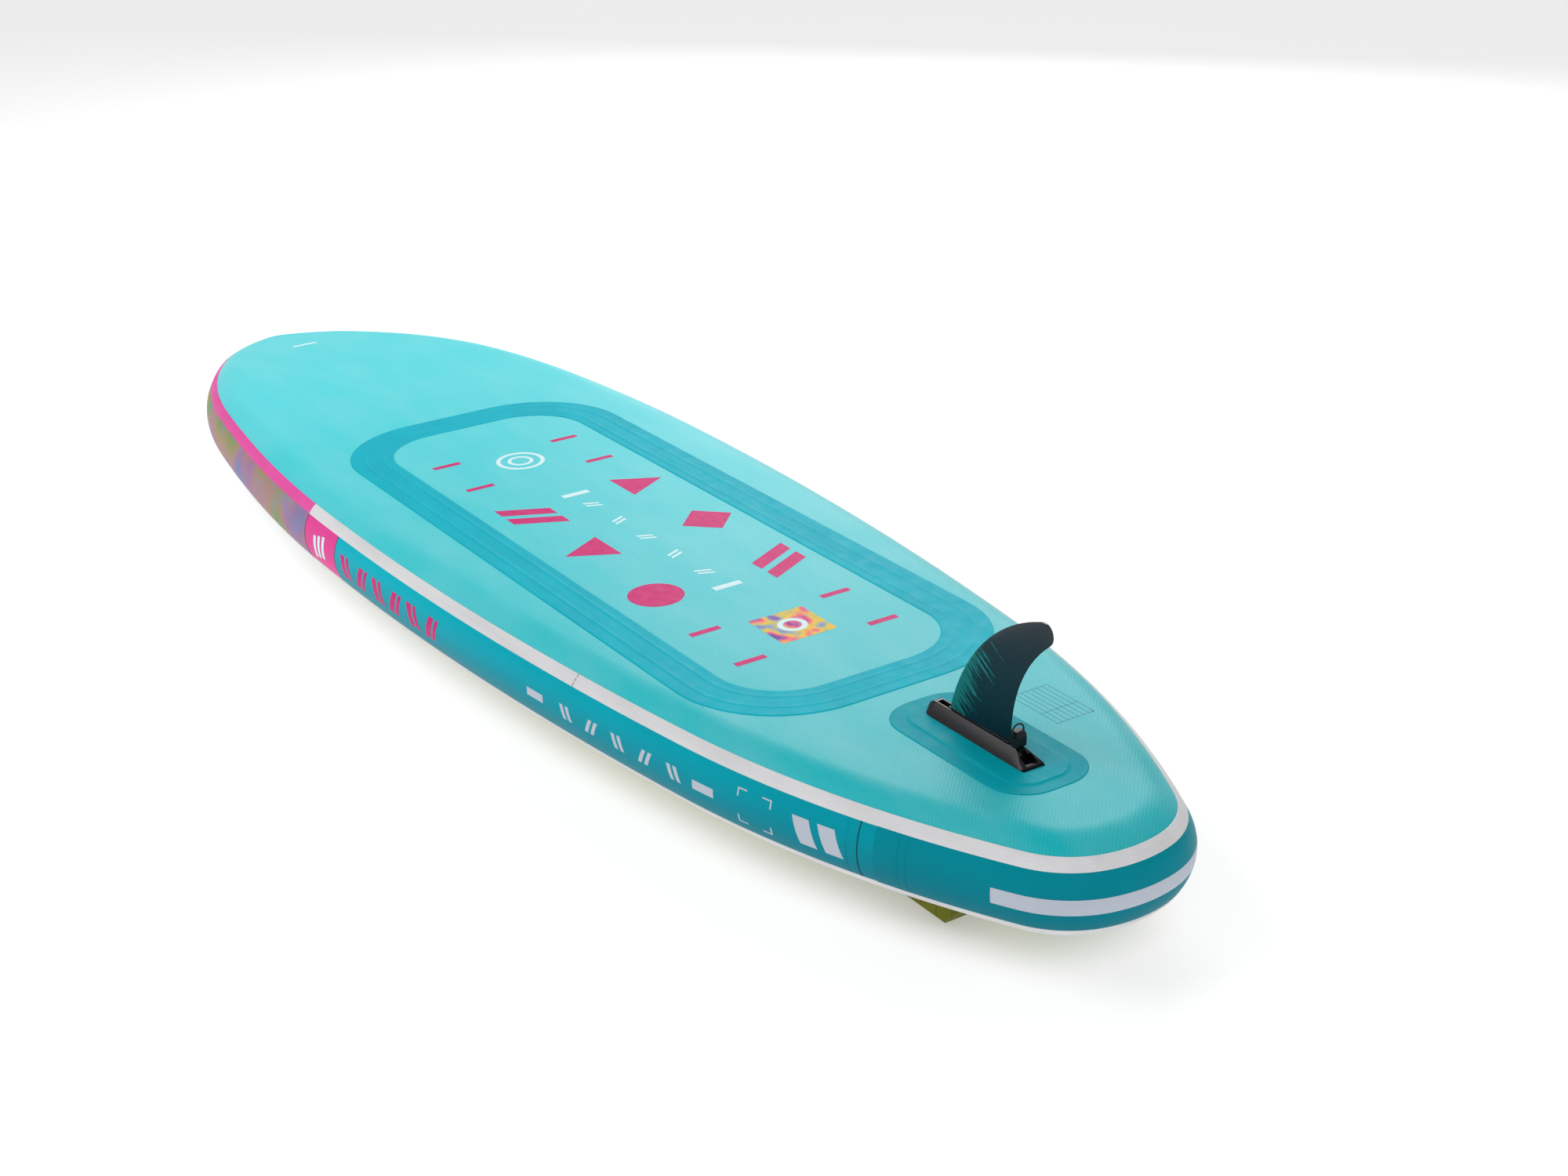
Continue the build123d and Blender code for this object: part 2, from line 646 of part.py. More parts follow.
def make_d_ring(name, place):
    """One steel D-ring that hangs straight down from its bar, as a piece of its own."""
    bar = deck_plane(*place).offset(bar_height()).origin
    with BuildPart() as ring:
        with Locations(bar):
            Cylinder(D_WIRE, 2 * D_LOOP_R, rotation=(90, 0, 0))
        for side in (1, -1):
            with Locations((bar.X, bar.Y + side * D_LOOP_R, bar.Z)):
                Sphere(D_WIRE)
        with BuildSketch(Plane(origin=(bar.X, bar.Y, bar.Z), x_dir=(0, 1, 0), z_dir=(0, 0, 1))):
            with Locations((D_LOOP_R, 0)):
                Circle(D_WIRE)
        revolve(axis=Axis((bar.X, bar.Y, bar.Z), (1, 0, 0)), revolution_arc=-180)
    save(ring, f"d_ring_{name}")


def bar_height():
    """How far a D-ring's bar stands out from the deck, over the patch and the webbing under it."""
    return BAND + TAB_LIFT + TAB_T + TAB_PLAY + D_WIRE


def make_d_ring_fixings(group, places):
    """The patches and webbing tabs that hold a group of D-rings."""
    with BuildPart() as patches:
        with BuildSketch(Plane.XZ):
            with BuildLine():
                draw_sheet_side(DECK_Z - BAND, DECK_Z, TAIL + RAIL_R, NOSE - RAIL_R)
            make_face()
        extrude(amount=WIDTH / 2, both=True)
        with BuildSketch(Plane.XY.offset(-THICKNESS)):
            with Locations(*places):
                Circle(D_PATCH_R)
        extrude(amount=3 * THICKNESS, mode=Mode.INTERSECT)
    save(patches, f"{group}_patches")

    with BuildPart() as tabs:
        for place in places:
            base = deck_plane(*place)
            upright = Plane(origin=base.origin, x_dir=base.x_dir, z_dir=(0, 1, 0))
            with BuildSketch(upright):
                with Locations((0, bar_height())):
                    Circle(D_WIRE + TAB_PLAY + TAB_T)
                with Locations((-13, BAND + TAB_LIFT + TAB_T / 2)):
                    Rectangle(26, TAB_T)
                with Locations((0, bar_height())):
                    Circle(D_WIRE + TAB_PLAY, mode=Mode.SUBTRACT)
            extrude(amount=TAB_W / 2, both=True)
    save(tabs, f"{group}_webbing")


os.makedirs("parts", exist_ok=True)
make_skins()
make_rails()
make_inner_chamber()
make_threads()
make_deck_pads()
make_fin_mount()
make_fin()
make_handle()
for valve_name, valve_centre in VALVES.items():
    make_valve(valve_name, valve_centre)
for ring_name, ring_place in CARGO_RINGS.items():
    make_d_ring(ring_name, ring_place)
make_d_ring("leash", LEASH_RING)
make_d_ring_fixings("cargo_ring", list(CARGO_RINGS.values()))
make_d_ring_fixings("leash_ring", [LEASH_RING])
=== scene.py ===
"""Looks of the inflatable paddleboard: cloth, tapes, prints, fin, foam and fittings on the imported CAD."""
import math

import bmesh
import bpy
from mathutils import Matrix, Vector


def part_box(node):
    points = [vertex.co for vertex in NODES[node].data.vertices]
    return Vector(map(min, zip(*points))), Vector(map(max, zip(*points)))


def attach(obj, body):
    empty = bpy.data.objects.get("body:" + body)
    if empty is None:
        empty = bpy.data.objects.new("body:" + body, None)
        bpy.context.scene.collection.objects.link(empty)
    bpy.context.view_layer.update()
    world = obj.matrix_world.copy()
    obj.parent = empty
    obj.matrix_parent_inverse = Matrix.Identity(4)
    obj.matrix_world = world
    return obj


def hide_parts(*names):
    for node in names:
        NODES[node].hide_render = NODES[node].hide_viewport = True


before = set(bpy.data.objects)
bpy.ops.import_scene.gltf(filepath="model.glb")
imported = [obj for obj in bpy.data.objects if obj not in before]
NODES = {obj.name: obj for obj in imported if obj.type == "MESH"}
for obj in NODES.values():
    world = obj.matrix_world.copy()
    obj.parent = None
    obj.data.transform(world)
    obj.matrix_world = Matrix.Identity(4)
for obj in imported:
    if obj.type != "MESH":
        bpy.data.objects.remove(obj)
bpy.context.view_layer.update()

MM = 0.001

# The board's driving sizes, in metres, as the CAD has them
LENGTH, WIDTH, RAIL_R = 2.970, 0.810, 0.075
TAIL, NOSE = -LENGTH / 2, LENGTH / 2
ROCKER_START, ROCKER_DROP = TAIL + 2.150, 0.063
ROCKER_R = ((NOSE - ROCKER_START) ** 2 + ROCKER_DROP**2) / (2 * ROCKER_DROP)
NOSE_ARCS = [(0.097, 29.7), (0.358, 29.7), (1.327, 20.2)]
TAIL_ARCS = [(0.214, 14.7), (0.154, 48.0), (1.768, 18.9)]
RING_X = TAIL + 1.2835
RING_OUTER, RING_INNER = (1.484, 0.538, 0.182), (1.329, 0.382, 0.113)
PATCH_X, PATCH_SIZE = TAIL + 0.338, (0.322, 0.160, 0.062)
JOINT_ANGLE, BAND_INNER, BAND_OUTER = 42.3, 50.6, 34.1
NOSE_SEAM, TAIL_SEAM = TAIL + 1.790, TAIL + 0.305
PINK_END = TAIL + 1.659

HULL_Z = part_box("chamber_ring_band")[0].z
DECK_Z = HULL_Z - 2 * RAIL_R
MID_Z = HULL_Z - RAIL_R
CLOTH = 1.2 * MM
TAPE = 1.0 * MM
END_LIFT = 0.5 * MM  # how far the rail cloth of the nose and the tail stands over that of the sides
STATION_STEP = 0.012

# The fin's outline: the points that its three arcs run through
FIN_ROOT_FRONT, FIN_ROOT_REAR, FIN_ROOT_UP = TAIL + 0.420, TAIL + 0.285, 22 * MM
FIN_LEAD_MIDDLE, FIN_TIP_FRONT = (TAIL + 0.361, HULL_Z + 0.133), TAIL + 0.224
FIN_TIP_REAR, FIN_TIP_LOW_X, FIN_TRAIL_MIDDLE_X = TAIL + 0.203, TAIL + 0.208, TAIL + 0.265
FIN_TIP_REAR_DROP, FIN_TIP_DROP, FIN_TRAIL_DROP = 11 * MM, 29 * MM, 101 * MM

# The fin box in section: half widths, then heights, and the length of its nose
BOX_FOOT, BOX_LIP, BOX_SLOT, BOX_CHANNEL = 22 * MM, 8.2 * MM, 4.7 * MM, 10.3 * MM
BOX_SHELF, BOX_FLOOR, BOX_NOSE = 14.6 * MM, 5 * MM, 17 * MM

# The handle: the arc on which its webbing hangs under the deck, and the layers' thicknesses
HANDLE_HALF_SPAN, HANDLE_SAG, HANDLE_PATCH, WEBBING = 0.125, 0.030, 1.0 * MM, 2.5 * MM

# The camera: where it looks, from which side, and how far away
CAMERA_TARGET = Vector((-0.3976, -0.1603, MID_Z))
CAMERA_AZIMUTH, CAMERA_ELEVATION, CAMERA_ROLL = -123.08, 23.756, -1.495
CAMERA_DISTANCE, CAMERA_LENS = 3.8326, 52.289


# ---------------------------------------------------------------- board shape
def at(x):
    """The x of a place measured from the tail."""
    return TAIL + x


def rocker(x):
    """How far the board's middle lies below its level at x, as a negative number."""
    past = max(0.0, x - ROCKER_START)
    return math.sqrt(ROCKER_R**2 - past**2) - ROCKER_R


def end_arcs(arcs, inset):
    """Arcs of one end as (centre u, centre w, radius, first angle, sweep): u in from the tip, w sideways."""
    u = w = angle = 0.0
    found = []
    for radius, sweep in arcs:
        a, b = math.radians(angle), math.radians(angle + sweep)
        cu, cw = u + radius * math.cos(a), w - radius * math.sin(a)
        found.append((cu, cw, radius - inset, angle, sweep))
        u, w = cu - radius * math.cos(b), cw + radius * math.sin(b)
        angle += sweep
    a = math.radians(angle)
    radius = (WIDTH / 2 - w) / (1 - math.sin(a))
    found.append((u + radius * math.cos(a), w - radius * math.sin(a), radius - inset, angle, 90 - angle))
    return found


def left_stations(step):
    """Stations (x, y, outward angle, outline x) of the left rail's centre line, from nose tip to tail tip."""
    nose, tail = end_arcs(NOSE_ARCS, RAIL_R), end_arcs(TAIL_ARCS, RAIL_R)
    arcs = [(NOSE - u, w, r, first, first + sweep) for u, w, r, first, sweep in nose]
    arcs += [(TAIL + u, w, r, 180 - first - sweep, 180 - first) for u, w, r, first, sweep in reversed(tail)]
    found = []
    for cx, cy, r, first, last in arcs:
        outer = math.radians(last - first) * (r + RAIL_R)
        count = max(3, math.ceil(outer / step))
        for i in range(count + 1):
            a = math.radians(first + (last - first) * i / count)
            x, y = cx + r * math.cos(a), cy + r * math.sin(a)
            found.append((x, y, a, x + RAIL_R * math.cos(a)))
    kept = [found[0]]
    for s in found[1:]:
        if math.dist(s[:2], kept[-1][:2]) > 1e-5 or abs(s[2] - kept[-1][2]) > 1e-4:
            kept.append(s)
    return kept


STATIONS = left_stations(STATION_STEP)


def edge_point(station, side, radius, theta):
    """A point round the rail's section at a station: theta is 0 outward and 90 at the hull face."""
    x, y, a, _ = station
    t = math.radians(theta)
    reach = radius * math.cos(t)
    height = MID_Z + rocker(x) + radius * math.sin(t)
    return Vector((x + reach * math.cos(a), side * (y + reach * math.sin(a)), height))


def cut_stations(front, rear):
    """Left stations between two x places, with one exactly at each end that is cut."""
    found = [s for s in STATIONS if rear < s[0] < front]
    for place, at_front in ((front, True), (rear, False)):
        if STATIONS[-1][0] < place < STATIONS[0][0]:
            before = [s for s in STATIONS if s[0] >= place][-1]
            after = STATIONS[STATIONS.index(before) + 1]
            k = (before[0] - place) / max(before[0] - after[0], 1e-9)
            s = tuple(p + (q - p) * k for p, q in zip(before, after))
            found.insert(0 if at_front else len(found), s)
    return found


def run_of(place, front, rear):
    """The sided stations of one strip: right round an end, or along one side."""
    part = cut_stations(front, rear)
    if place == "nose":
        return [(s, 1) for s in reversed(part)] + [(s, -1) for s in part[1:]]
    if place == "tail":
        return [(s, 1) for s in part] + [(s, -1) for s in reversed(part[:-1])]
    return [(s, 1 if place == "left" else -1) for s in part]


# ---------------------------------------------------------------- mesh helpers
def new_object(name, vertices, faces, smooth=True):
    """A mesh object with clean normals, linked to the scene."""
    mesh = bpy.data.meshes.new(name)
    mesh.from_pydata([tuple(v) for v in vertices], [], faces)
    mesh.validate()
    obj = bpy.data.objects.new(name, mesh)
    bpy.context.scene.collection.objects.link(obj)
    tidy_mesh(obj)
    for p in mesh.polygons:
        p.use_smooth = smooth
    return obj


def tidy_mesh(obj):
    """Merges doubles and turns all faces outward."""
    bm = bmesh.new()
    bm.from_mesh(obj.data)
    bmesh.ops.remove_doubles(bm, verts=bm.verts, dist=2e-6)
    bmesh.ops.dissolve_degenerate(bm, edges=bm.edges, dist=1e-6)
    bmesh.ops.recalc_face_normals(bm, faces=bm.faces)
    bm.to_mesh(obj.data)
    bm.free()


def grid_faces(rows, columns, closed=False):
    """Faces of a grid of points; closed joins the last column to the first."""
    wide = columns if closed else columns - 1
    faces = []
    for i in range(rows - 1):
        near, far = i * columns, (i + 1) * columns
        for j in range(wide):
            k = (j + 1) % columns
            faces.append((near + j, near + k, far + k, far + j))
    return faces


def tube(name, rings):
    """A closed solid through rings of points, each with the same count, with a cap at each end."""
    columns = len(rings[0])
    vertices = [p for ring in rings for p in ring]
    faces = grid_faces(len(rings), columns, closed=True)
    faces.append(tuple(range(columns - 1, -1, -1)))
    faces.append(tuple((len(rings) - 1) * columns + j for j in range(columns)))
    return new_object(name, vertices, faces)


def modify(obj, kind, **settings):
    """Adds a modifier with its settings."""
    modifier = obj.modifiers.new(kind.title(), kind)
    for key, value in settings.items():
        setattr(modifier, key, value)


def bevel(obj, width, segments):
    """Rounds the sharp edges of a moulded piece."""
    angle = math.radians(40)
    modify(obj, "BEVEL", width=width, segments=segments, limit_method="ANGLE", angle_limit=angle)


def finish_piece(obj, body, material, replaces=(), sharp=None):
    """Gives a piece its material and body, and hides the CAD nodes that it stands for."""
    obj.data.materials.clear()
    obj.data.materials.append(material)
    if sharp:
        for p in obj.data.polygons:
            p.use_smooth = True
        obj.data.set_sharp_from_angle(angle=math.radians(sharp))
    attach(obj, body)
    if replaces:
        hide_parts(*replaces)


# ---------------------------------------------------------------- materials
class Nodes:
    """Writes one material's node tree."""

    def __init__(self, name):
        self.material = bpy.data.materials.new(name)
        self.material.use_nodes = True
        self.tree = self.material.node_tree
        self.shader = self.tree.nodes["Principled BSDF"]

    def add(self, kind, inputs=None, **settings):
        node = self.tree.nodes.new("ShaderNode" + kind)
        for key, value in settings.items():
            setattr(node, key, value)
        for key, value in (inputs or {}).items():
            self.set(node.inputs[key], value)
        return node

    def set(self, socket, value):
        if isinstance(value, bpy.types.NodeSocket):
            self.tree.links.new(value, socket)
        elif isinstance(value, bpy.types.Node):
            self.tree.links.new(value.outputs[0], socket)
        else:
            socket.default_value = value

    def place(self):
        """The point's place in the row frame, as x, y and z outputs."""
        vector = self.add("TexCoord").outputs["Object"]
        return vector, self.add("SeparateXYZ", {0: vector}).outputs

    def math(self, operation, a, b=0.0, c=0.0, clamp=False):
        return self.add("Math", {0: a, 1: b, 2: c}, operation=operation, use_clamp=clamp).outputs[0]

    def mix(self, share, a, b):
        node = self.add("Mix", data_type="RGBA")
        for index, value in ((0, share), (6, a), (7, b)):
            self.set(node.inputs[index], value)
        return node.outputs[2]

    def ramp(self, value, low, high, to_low=0.0, to_high=1.0):
        return self.add("MapRange", {0: value, 1: low, 2: high, 3: to_low, 4: to_high}).outputs[0]

    def noise(self, vector, scale, detail=3.0, roughness=0.5):
        inputs = {"Vector": vector, "Scale": scale, "Detail": detail, "Roughness": roughness}
        return self.add("TexNoise", inputs).outputs["Fac"]

    def stretched(self, vector, x, y, z):
        return self.add("Mapping", {"Vector": vector, "Scale": (x, y, z)}).outputs[0]

    def finish(self, colour, roughness, height=None, bump=0.2, distance=0.0005, **constants):
        self.set(self.shader.inputs["Base Color"], colour)
        self.set(self.shader.inputs["Roughness"], roughness)
        if height is not None:
            node = self.add("Bump", {"Strength": bump, "Distance": distance, "Height": height})
            self.set(self.shader.inputs["Normal"], node)
        for key, value in constants.items():
            self.shader.inputs[key].default_value = value
        return self.material


def linear(value):
    """One sRGB channel from 0 to 255 as a linear value."""
    share = value / 255
    return share / 12.92 if value <= 10 else ((share + 0.055) / 1.055) ** 2.4


def rgb(r, g, b):
    """An sRGB colour in 0 to 255 as a linear one."""
    return linear(r), linear(g), linear(b), 1.0


def scaled(colour, factor, offset=0.0):
    """A colour made darker or lighter, within 0 to 1."""
    return tuple(min(1.0, v * factor + offset) for v in colour[:3]) + (1.0,)


def wave(n, value, period):
    """A sine from 0 to 1 along a coordinate, with a period in metres."""
    return n.math("MULTIPLY_ADD", n.math("SINE", n.math("MULTIPLY", value, 2 * math.pi / period)), 0.5, 0.5)


def coated_cloth(name, tail_colour, nose_colour, rows=0.0068, rough=0.40, mark=0.16):
    """Coated drop stitch cloth: a colour that drifts from tail to nose, crossed stitches and a fine grain."""
    n = Nodes(name)
    vector, place = n.place()
    share = n.ramp(place[0], at(0.2), NOSE - 0.6)
    colour = n.mix(share, tail_colour, nose_colour)
    stitch_rows = wave(n, n.math("ADD", place[0], place[1]), rows)
    cross_rows = wave(n, n.math("SUBTRACT", place[0], place[1]), rows)
    grain = n.noise(vector, 900, 2)
    drift = n.noise(n.stretched(vector, 1, 3, 3), 5, 3)
    pattern = n.math("MULTIPLY", stitch_rows, n.math("MULTIPLY_ADD", cross_rows, 0.4, 0.6))
    dark = n.mix(mark, colour, (0.0, 0.09, 0.11, 1))
    colour = n.mix(pattern, colour, dark)
    colour = n.mix(n.ramp(drift, 0.35, 0.7, 0.0, 0.10), colour, n.mix(0.5, colour, (1, 1, 1, 1)))
    colour = n.mix(n.ramp(grain, 0.4, 0.75, 0.0, 0.10), colour, dark)
    height = n.math("ADD", n.math("MULTIPLY", pattern, 0.5), n.math("MULTIPLY", grain, 0.5))
    roughness = n.ramp(grain, 0.3, 0.7, rough - 0.05, rough + 0.08)
    gloss = {"Specular IOR Level": 0.2, "Sheen Weight": 0.12, "Sheen Roughness": 0.25}
    return n.finish(colour, roughness, height, 0.5, 0.0005, **gloss)


def tape_cloth(name, colour, shade, rough=0.45):
    """Seam tape: smooth coated cloth with faint clouds and a little scuffing."""
    n = Nodes(name)
    vector, _ = n.place()
    clouds = n.noise(n.stretched(vector, 1, 4, 4), 6, 3)
    scuffs = n.noise(vector, 35, 5, 0.7)
    grain = n.noise(vector, 1100, 2)
    share = n.ramp(clouds, 0.35, 0.7, 0.0, 0.4)
    mixed = n.mix(share, colour, shade)
    mixed = n.mix(n.ramp(scuffs, 0.62, 0.78, 0.0, 0.25), mixed, shade)
    height = n.math("ADD", n.math("MULTIPLY", grain, 0.7), n.math("MULTIPLY", scuffs, 0.3))
    roughness = n.ramp(scuffs, 0.3, 0.7, rough - 0.06, rough + 0.1)
    return n.finish(mixed, roughness, height, 0.08, 0.0003, **{"Specular IOR Level": 0.05})


def rail_cloth(name, top, bottom, printed=None):
    """Rail cloth: lighter above and deeper below as painted light and shade, with an optional pink print near
    the nose and a painted shadow line at the print's end.
    """
    n = Nodes(name)
    vector, place = n.place()
    # Painted light and shade: the top colour high on the rail, the bottom colour low on it
    share = n.ramp(place[2], DECK_Z + 0.02, HULL_Z - 0.045)
    colour = n.mix(share, bottom, top)
    tail_share = n.ramp(place[0], at(0.2), at(1.6))
    colour = n.mix(n.math("MULTIPLY", n.math("SUBTRACT", 1.0, tail_share), 0.55), colour, bottom)
    grain = n.noise(vector, 1000, 2)
    drift = n.noise(n.stretched(vector, 1, 5, 5), 4, 3)
    colour = n.mix(n.ramp(drift, 0.3, 0.75, 0.0, 0.12), colour, bottom)
    if printed:
        edge = n.math("GREATER_THAN", place[0], PINK_END)
        pink = n.mix(n.ramp(drift, 0.3, 0.7, 0.0, 0.2), printed, n.mix(0.25, printed, (0.2, 0.0, 0.1, 1)))
        # Painted shadow: a thin dark line along the seam where the pink print ends
        line = n.math("LESS_THAN", n.math("ABSOLUTE", n.math("SUBTRACT", place[0], PINK_END)), 0.0012)
        colour = n.mix(line, n.mix(edge, colour, pink), (0.0, 0.07, 0.09, 1))
    roughness = n.ramp(grain, 0.3, 0.7, 0.36, 0.46)
    return n.finish(colour, roughness, grain, 0.12, 0.0003, **{"Specular IOR Level": 0.05})


PASTELS = [
    rgb(100, 132, 172), rgb(158, 112, 158), rgb(174, 132, 122), rgb(146, 146, 72),
    rgb(110, 146, 82), rgb(94, 150, 172), rgb(178, 108, 156),
]
BRIGHTS = [
    rgb(90, 60, 150), rgb(235, 90, 150), rgb(240, 130, 110), rgb(245, 205, 70),
    rgb(210, 190, 60), rgb(120, 170, 215), rgb(150, 60, 150),
]


def dyed_cloth(name, scale, colours):
    """A soft dye print: clouds of the given colours that run into each other."""
    n = Nodes(name)
    vector, _ = n.place()
    warp = n.add("TexNoise", {"Vector": vector, "Scale": scale * 0.7, "Detail": 2.0})
    shift = n.add("VectorMath", {0: warp.outputs["Color"], 3: 0.35 / scale}, operation="SCALE")
    bent = n.add("VectorMath", {0: vector, 1: shift}, operation="ADD")
    first = n.noise(n.stretched(bent.outputs[0], 1, 1.4, 0.5), scale, 1.5, 0.35)
    ramp = n.add("ValToRGB", {0: n.ramp(first, 0.28, 0.72)})
    ramp.color_ramp.interpolation = "B_SPLINE"
    while len(ramp.color_ramp.elements) < len(colours):
        ramp.color_ramp.elements.new(0.5)
    for i, (element, colour) in enumerate(zip(ramp.color_ramp.elements, colours)):
        element.position = i / (len(colours) - 1)
        element.color = colour
    blots = n.noise(bent.outputs[0], scale * 2.6, 2, 0.5)
    colour = n.mix(n.ramp(blots, 0.5, 0.75, 0.0, 0.45), ramp.outputs[0], rgb(125, 140, 195))
    grain = n.noise(vector, 1000, 2)
    roughness = n.ramp(grain, 0.3, 0.7, 0.38, 0.5)
    return n.finish(colour, roughness, grain, 0.12, 0.0003, **{"Specular IOR Level": 0.05})


def ink_and_shadow_paint(name, colour, wear=0.12):
    """Screen printed ink on cloth, a little thin where the weave stands up; also painted shadow strips laid
    on the same way.
    """
    n = Nodes(name)
    vector, _ = n.place()
    grain = n.noise(vector, 1200, 3, 0.6)
    patches = n.noise(vector, 60, 3)
    mixed = n.mix(n.ramp(grain, 0.5, 0.8, 0.0, wear), colour, n.mix(0.5, colour, (0.05, 0.35, 0.4, 1)))
    mixed = n.mix(n.ramp(patches, 0.4, 0.7, 0.0, 0.03), mixed, (0.9, 0.9, 0.9, 1))
    roughness = n.ramp(grain, 0.3, 0.7, 0.42, 0.55)
    return n.finish(mixed, roughness, grain, 0.15, 0.0003, **{"Specular IOR Level": 0.1})


def moulded_plastic(name, colour, rough=0.42, scuff=0.2):
    """Moulded plastic: fine spark texture, soft wear on its edges and faint flow marks."""
    n = Nodes(name)
    vector, _ = n.place()
    grain = n.noise(vector, 1400, 3, 0.6)
    flow = n.noise(n.stretched(vector, 2, 12, 12), 20, 3)
    worn = n.add("NewGeometry").outputs["Pointiness"]
    edge = n.ramp(worn, 0.52, 0.60, 0.0, scuff)
    mixed = n.mix(n.ramp(flow, 0.35, 0.7, 0.0, 0.3), colour, scaled(colour, 0.7))
    mixed = n.mix(edge, mixed, scaled(colour, 1.6, 0.05))
    roughness = n.ramp(grain, 0.3, 0.7, rough - 0.06, rough + 0.1)
    return n.finish(mixed, roughness, grain, 0.08, 0.0002, **{"Specular IOR Level": 0.3})


def brushed_fin(name):
    """The fin's navy plastic, deep at the tip, with brushed teal streaks in its lower front part."""
    n = Nodes(name)
    vector, place = n.place()
    base_x, base_z = at(0.425), HULL_Z + 0.02
    turned = n.add("Mapping", {"Vector": vector, "Location": (-base_x, 0, -base_z)}).outputs[0]
    rotation = {"Vector": turned, "Angle": math.radians(33)}
    turned = n.add("VectorRotate", rotation, rotation_type="Y_AXIS").outputs[0]
    streak = n.noise(n.stretched(turned, 7, 1, 190), 1.6, 4, 0.7)
    broken = n.noise(n.stretched(turned, 24, 1, 90), 2.0, 3, 0.6)
    lean = 0.45
    leaning = n.math("ADD", place[0], n.math("MULTIPLY", place[2], lean))
    start = TAIL + lean * (HULL_Z + 0.07)
    reach_x = n.ramp(leaning, start + 0.315, start + 0.395)
    low = n.ramp(place[2], HULL_Z + 0.20, HULL_Z + 0.12)
    zone = n.math("MULTIPLY", reach_x, low)
    cut = n.math("SUBTRACT", 0.74, n.math("MULTIPLY", zone, 0.30))
    strokes = n.math("MULTIPLY", n.math("GREATER_THAN", streak, cut), n.ramp(broken, 0.3, 0.42), clamp=True)
    deep = n.mix(n.ramp(place[2], HULL_Z, HULL_Z + 0.22), rgb(2, 30, 44), rgb(10, 22, 34))
    teal = n.mix(n.ramp(streak, 0.4, 0.7), rgb(16, 104, 104), rgb(36, 140, 134))
    colour = n.mix(strokes, deep, teal)
    grain = n.noise(vector, 900, 3)
    roughness = n.ramp(grain, 0.3, 0.7, 0.26, 0.36)
    return n.finish(colour, roughness, grain, 0.05, 0.0002, **{"Specular IOR Level": 0.35})


def grooved_foam(name, colour, pitch=0.0):
    """Closed cell foam: fine pores, softly worn, with crossed grooves where a pitch is given; the pits of the
    pores and the grooves are darkened with painted shade.
    """
    n = Nodes(name)
    vector, place = n.place()
    pores = n.add("TexVoronoi", {"Vector": vector, "Scale": 900.0}).outputs["Distance"]
    cloud = n.noise(vector, 14, 4)
    dark = scaled(colour, 0.62)
    mixed = n.mix(n.ramp(cloud, 0.3, 0.7, 0.0, 0.35), colour, dark)
    # Painted shade: the pits of the pores darker
    mixed = n.mix(n.ramp(pores, 0.0, 0.35, 0.35, 0.0), mixed, dark)
    height = n.math("MULTIPLY", pores, 0.3)
    if pitch:
        lines = []
        for sign in (1, -1):
            across = n.math("ADD", place[0], n.math("MULTIPLY", place[1], sign * 1.4))
            folded = n.math("PINGPONG", across, pitch)
            lines.append(n.ramp(folded, 0.0, 0.0016))
        groove_relief_and_shade = n.math("MINIMUM", *lines)
        # Painted shade: the grooves darker
        mixed = n.mix(groove_relief_and_shade, dark, mixed)
        height = n.math("ADD", height, groove_relief_and_shade)
    return n.finish(mixed, n.ramp(cloud, 0.3, 0.7, 0.75, 0.9), height, 0.6, 0.0010)


def woven_webbing(name, colour):
    """Woven nylon webbing: a herringbone of fine ribs with a soft sheen, and a painted highlight on the
    raised ribs.
    """
    n = Nodes(name)
    _, place = n.place()
    skew = n.math("ADD", place[0], n.math("MULTIPLY", wave(n, place[1], 0.006), 0.003))
    ribs = wave(n, skew, 0.0022)
    threads = wave(n, place[1], 0.0016)
    height = n.math("MULTIPLY", ribs, threads)
    # Painted highlight: the raised ribs lighter
    mixed = n.mix(n.math("MULTIPLY", height, 0.6), colour, scaled(colour, 2.2, 0.02))
    return n.finish(mixed, 0.62, height, 0.5, 0.0005, **{"Sheen Weight": 0.25})


def steel(name):
    """Polished stainless wire with fine draw marks."""
    n = Nodes(name)
    vector, _ = n.place()
    marks = n.noise(n.stretched(vector, 200, 900, 900), 2, 3)
    colour = n.mix(n.ramp(marks, 0.3, 0.7, 0.0, 0.3), (0.72, 0.72, 0.73, 1), (0.45, 0.45, 0.47, 1))
    return n.finish(colour, n.ramp(marks, 0.3, 0.7, 0.16, 0.3), marks, 0.05, 0.0002, **{"Metallic": 1.0})


def soft_rubber(name, colour, rough=0.7):
    """Plain soft rubber or neoprene with a fine matt skin."""
    n = Nodes(name)
    vector, _ = n.place()
    skin = n.noise(vector, 700, 4, 0.7)
    bloom = n.noise(vector, 30, 3)
    mixed = n.mix(n.ramp(bloom, 0.4, 0.75, 0.0, 0.4), colour, scaled(colour, 1.8, 0.01))
    roughness = n.ramp(skin, 0.3, 0.7, rough - 0.08, rough + 0.1)
    return n.finish(mixed, roughness, skin, 0.25, 0.0003)


